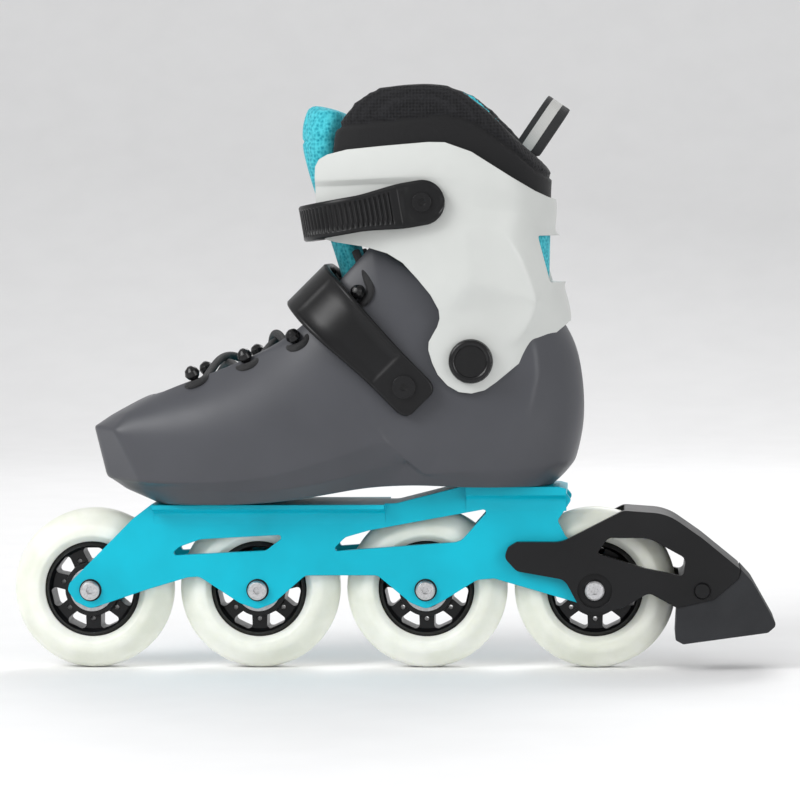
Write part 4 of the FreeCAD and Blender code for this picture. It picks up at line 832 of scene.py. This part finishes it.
def build_ladder_strap():
    """The ribbed cuff strap: wide and plain round its screw, narrower with cross ribs ahead of it."""
    path, total = strap_path(45.6, 62.0, 30.0, LADDER_END, 0.4)

    def width_at(s):
        near = min(s, total - s)
        half = LADDER_END - 2.2 * smoothstep(18.0, 44.0, near)
        half = round_end(near, LADDER_END, half)
        return -half - 0.2, half - 0.2

    def height_at(s, u):
        near = min(s, total - s)
        edge = 0.7 * smoothstep(0.9, 1.0, abs(u))
        if abs(u) >= 0.74 or near < RIBS_START:
            from_screw = math.hypot(near - LADDER_END, u * 10.8)
            dish = 0.5 * smoothstep(9.0, 11.0, from_screw) if near < 2 * LADDER_END else 0.0
            return STRAP_THICKNESS - edge - dish * smoothstep(0.9, 0.7, abs(u))
        phase = (near - RIBS_START) / RIB_PITCH % 1.0
        return 1.7 + 1.2 * smoothstep(0.0, 0.3, phase) * smoothstep(1.0, 0.72, phase)

    piece = strap_band("cuff_strap_ribbed", path, LADDER_SPANS, width_at, height_at,
                       lambda s, u: 0.3 * smoothstep(0.9, 1.0, abs(u)), LADDER_SCREW, LADDER_TILT,
                       "strap_black")
    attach(piece, "cuff_strap_body")
    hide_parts("cuff_strap")


INSTEP_SCREW = (33.6, 141.9)
INSTEP_TILT = 45.5
CUSHION_HALF_LENGTH = 47.0
CUSHION_SPANS = [-1.0, -0.95, -0.8, -0.4, 0.0, 0.4, 0.8, 0.95, 1.0]
INSTEP_SPANS = [-1.0, -0.98, -0.93, -0.86, -0.82, -0.78, -0.4, 0.0, 0.4, 0.78, 0.82, 0.86, 0.93, 0.98, 1.0]


def instep_width(s, total):
    """Lower and upper edge of the instep strap, wider over the foot and rounded at its ends."""
    near = min(s, total - s)
    flare = smoothstep(20.0, 74.0, near)
    low = -11.2 - 3.2 * flare
    high = 11.2 + 2.2 * flare
    shape = 1.0 if near > 7.0 else 0.62 + 0.38 * math.sqrt(1.0 - ((7.0 - near) / 7.0) ** 2)
    return low * shape, high * shape


def build_instep_strap():
    """The moulded 45 degree strap with a raised rim about a plain shallow panel, and its cushion."""
    path, total = strap_path(44.0, 71.0, 34.0, 12.0, 0.9)

    def height_at(s, u):
        near = min(s, total - s)
        panel = smoothstep(0.86, 0.78, abs(u)) * smoothstep(23.0, 26.0, near) * smoothstep(78.0, 74.0, near)
        return STRAP_THICKNESS - 0.9 * smoothstep(0.93, 1.0, abs(u)) ** 2 - 0.8 * panel

    piece = strap_band("instep_strap_moulded", path, INSTEP_SPANS, lambda s: instep_width(s, total),
                       height_at, lambda s, u: 0.4 * smoothstep(0.93, 1.0, abs(u)),
                       INSTEP_SCREW, INSTEP_TILT, "strap_black")
    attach(piece, "instep_strap_body")
    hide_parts("instep_strap")
    middle = [row for row in path if abs(row[0] - total / 2) < CUSHION_HALF_LENGTH]
    pad = strap_band("instep_strap_cushion", middle[::3], CUSHION_SPANS, lambda s: (-14.6, 12.6),
                     lambda s, u: 0.1 - 1.2 * abs(u) ** 6, lambda s, u: -3.6 + 2.2 * abs(u) ** 6,
                     INSTEP_SCREW, INSTEP_TILT, "smooth_black")
    puff(pad, 2.0, 0.5)
    soften(pad)
    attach(pad, "instep_strap_body")


build_ladder_strap()
build_instep_strap()

# ---- trim ---------------------------------------------------------------------------------------


PIVOT_CAP_RIM = [(7.4, -0.3), (7.9, 0.9), (9.4, 1.1), (10.3, 0.6), (10.6, -0.3)]
PIVOT_CAP_FACE = 46.7
PIVOT = (66.0, 154.1)
# Section of the thin dark ring at each axle's head: painted shade for the shadow gap round its seat, not a
# real part.
AXLE_SHADOW_RING = [(4.85, -0.3), (4.85, 0.35), (5.5, 0.35), (5.7, -0.3)]
AXLE_PITCH = 83.5
AXLE_HEIGHT = 40.0
# Half the width over the frame's plates, and over the brake arm's cheeks at the last axle.
FRAME_FACE = 16.5
BRAKE_FACE = 19.5
RING_STEPS = 48


def ring(name, centre, side, section, material):
    """A turned ring about Y: section is (radius, distance outward from the centre)."""
    loops = []
    for i in range(RING_STEPS):
        turn = 2 * math.pi * i / RING_STEPS
        loops.append([(centre[0] + r * math.cos(turn), centre[1] + side * out,
                       centre[2] + r * math.sin(turn)) for r, out in section])
    loops.append(loops[0])
    piece = loft(name, loops, material, capped=False)
    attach(piece, "root")


def build_trim():
    """The rim round each pivot cap, and a dark ring round each axle's head: painted shade for the shadow
    gap round its recessed seat.
    """
    for side, word in ((-1, "medial"), (1, "lateral")):
        ring("pivot_cap_rim_" + word, (PIVOT[0], side * PIVOT_CAP_FACE, PIVOT[1]), side,
             PIVOT_CAP_RIM, "buckle_black")
        for number in range(1, 5):
            x = AXLE_PITCH * (number - 2.5)
            face = BRAKE_FACE if number == 4 else FRAME_FACE
            # Painted shade: a dark ring where the shadow gap round the axle's head falls.
            ring("axle_seat_%d_%s" % (number, word), (x, side * face, AXLE_HEIGHT), side,
                 AXLE_SHADOW_RING, "hub_black")


build_trim()

# ---- footbed and heel pad -----------------------------------------------------------------------


def build_pad(name, source, material, voxel):
    """A soft footbed or pad: the design's shape with its edges rounded off."""
    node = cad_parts[source]
    corners = [node.matrix_world @ vertex.co / MM for vertex in node.data.vertices]
    faces = [tuple(polygon.vertices) for polygon in node.data.polygons]
    piece = add_object(name, corners, faces, material)
    modify(piece, "REMESH", mode="VOXEL", voxel_size=voxel * MM)
    modify(piece, "SMOOTH", factor=0.5, iterations=8)
    bake_modifiers(piece)
    shade_smooth(piece)
    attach(piece, "root")
    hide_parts(source)


build_pad("insole_pad", "insole", "footbed", 1.0)
build_pad("heel_shock_pad_soft", "heel_shock_pad", "shock_pad", 0.8)

# ---- stage --------------------------------------------------------------------------------------

CAMERA_PLACE = Vector((145.34, -1781.6, 221.06)) * MM
CAMERA_TARGET = Vector((28.63, 0.0, 133.31)) * MM
CAMERA_ROLL = -0.007
CAMERA_LENS = 161.56
# The floor in metres: how far it runs to the front, the sides and the curve, and how high it ends.
FLOOR_FRONT = -3.0
FLOOR_HALF_WIDTH = 4.0
CURVE_START = 1.6
CURVE_RADIUS = 1.2
FLOOR_TOP = 4.0
CURVE_STEPS = 12


def add_camera():
    """The camera that looks at the inner side of the skate."""
    data = bpy.data.cameras.new("camera")
    data.lens = CAMERA_LENS
    data.sensor_width = 36.0
    camera = bpy.data.objects.new("camera", data)
    bpy.context.collection.objects.link(camera)
    camera.location = CAMERA_PLACE
    aim = (CAMERA_TARGET - CAMERA_PLACE).to_track_quat("-Z", "Y")
    camera.rotation_mode = "QUATERNION"
    camera.rotation_quaternion = aim @ Quaternion((0, 0, 1), CAMERA_ROLL)
    bpy.context.scene.camera = camera


def add_area(name, place, target, size, power):
    """A square area light aimed at a target, in metres and watts."""
    data = bpy.data.lights.new(name, "AREA")
    data.size = size
    data.energy = power
    lamp = bpy.data.objects.new(name, data)
    bpy.context.collection.objects.link(lamp)
    lamp.location = place
    lamp.rotation_euler = (Vector(target) - Vector(place)).to_track_quat("-Z", "Y").to_euler()


def add_floor():
    """A pale floor that rises behind the skate in one soft curve."""
    profile = [(FLOOR_FRONT, 0.0), (CURVE_START, 0.0)]
    for i in range(1, CURVE_STEPS + 1):
        turn = math.pi / 2 * i / CURVE_STEPS
        profile.append((CURVE_START + CURVE_RADIUS * math.sin(turn),
                        CURVE_RADIUS - CURVE_RADIUS * math.cos(turn)))
    profile.append((CURVE_START + CURVE_RADIUS, FLOOR_TOP))
    points = []
    for y, z in profile:
        for x in (-FLOOR_HALF_WIDTH, FLOOR_HALF_WIDTH):
            points.append((x / MM, y / MM, z / MM))
    faces = [[2 * i, 2 * i + 1, 2 * i + 3, 2 * i + 2] for i in range(len(profile) - 1)]
    floor = add_object("floor", points, faces, "pale_floor")


def add_world():
    """Even white light from all round."""
    world = bpy.data.worlds.new("studio")
    bpy.context.scene.world = world
    world.use_nodes = True
    background = world.node_tree.nodes["Background"]
    background.inputs["Color"].default_value = (1.0, 1.0, 1.0, 1.0)
    background.inputs["Strength"].default_value = 0.62


add_camera()
add_world()
add_floor()
add_area("key", (-1.1, -1.0, 1.1), (0.0, 0.0, 0.14), 0.9, 20.0)
add_area("fill", (1.3, -1.1, 0.5), (0.0, 0.0, 0.14), 0.8, 7.0)
add_area("back", (0.3, 1.4, 1.3), (0.0, 0.0, 0.15), 1.0, 12.0)
bpy.context.scene.view_settings.view_transform = "Standard"
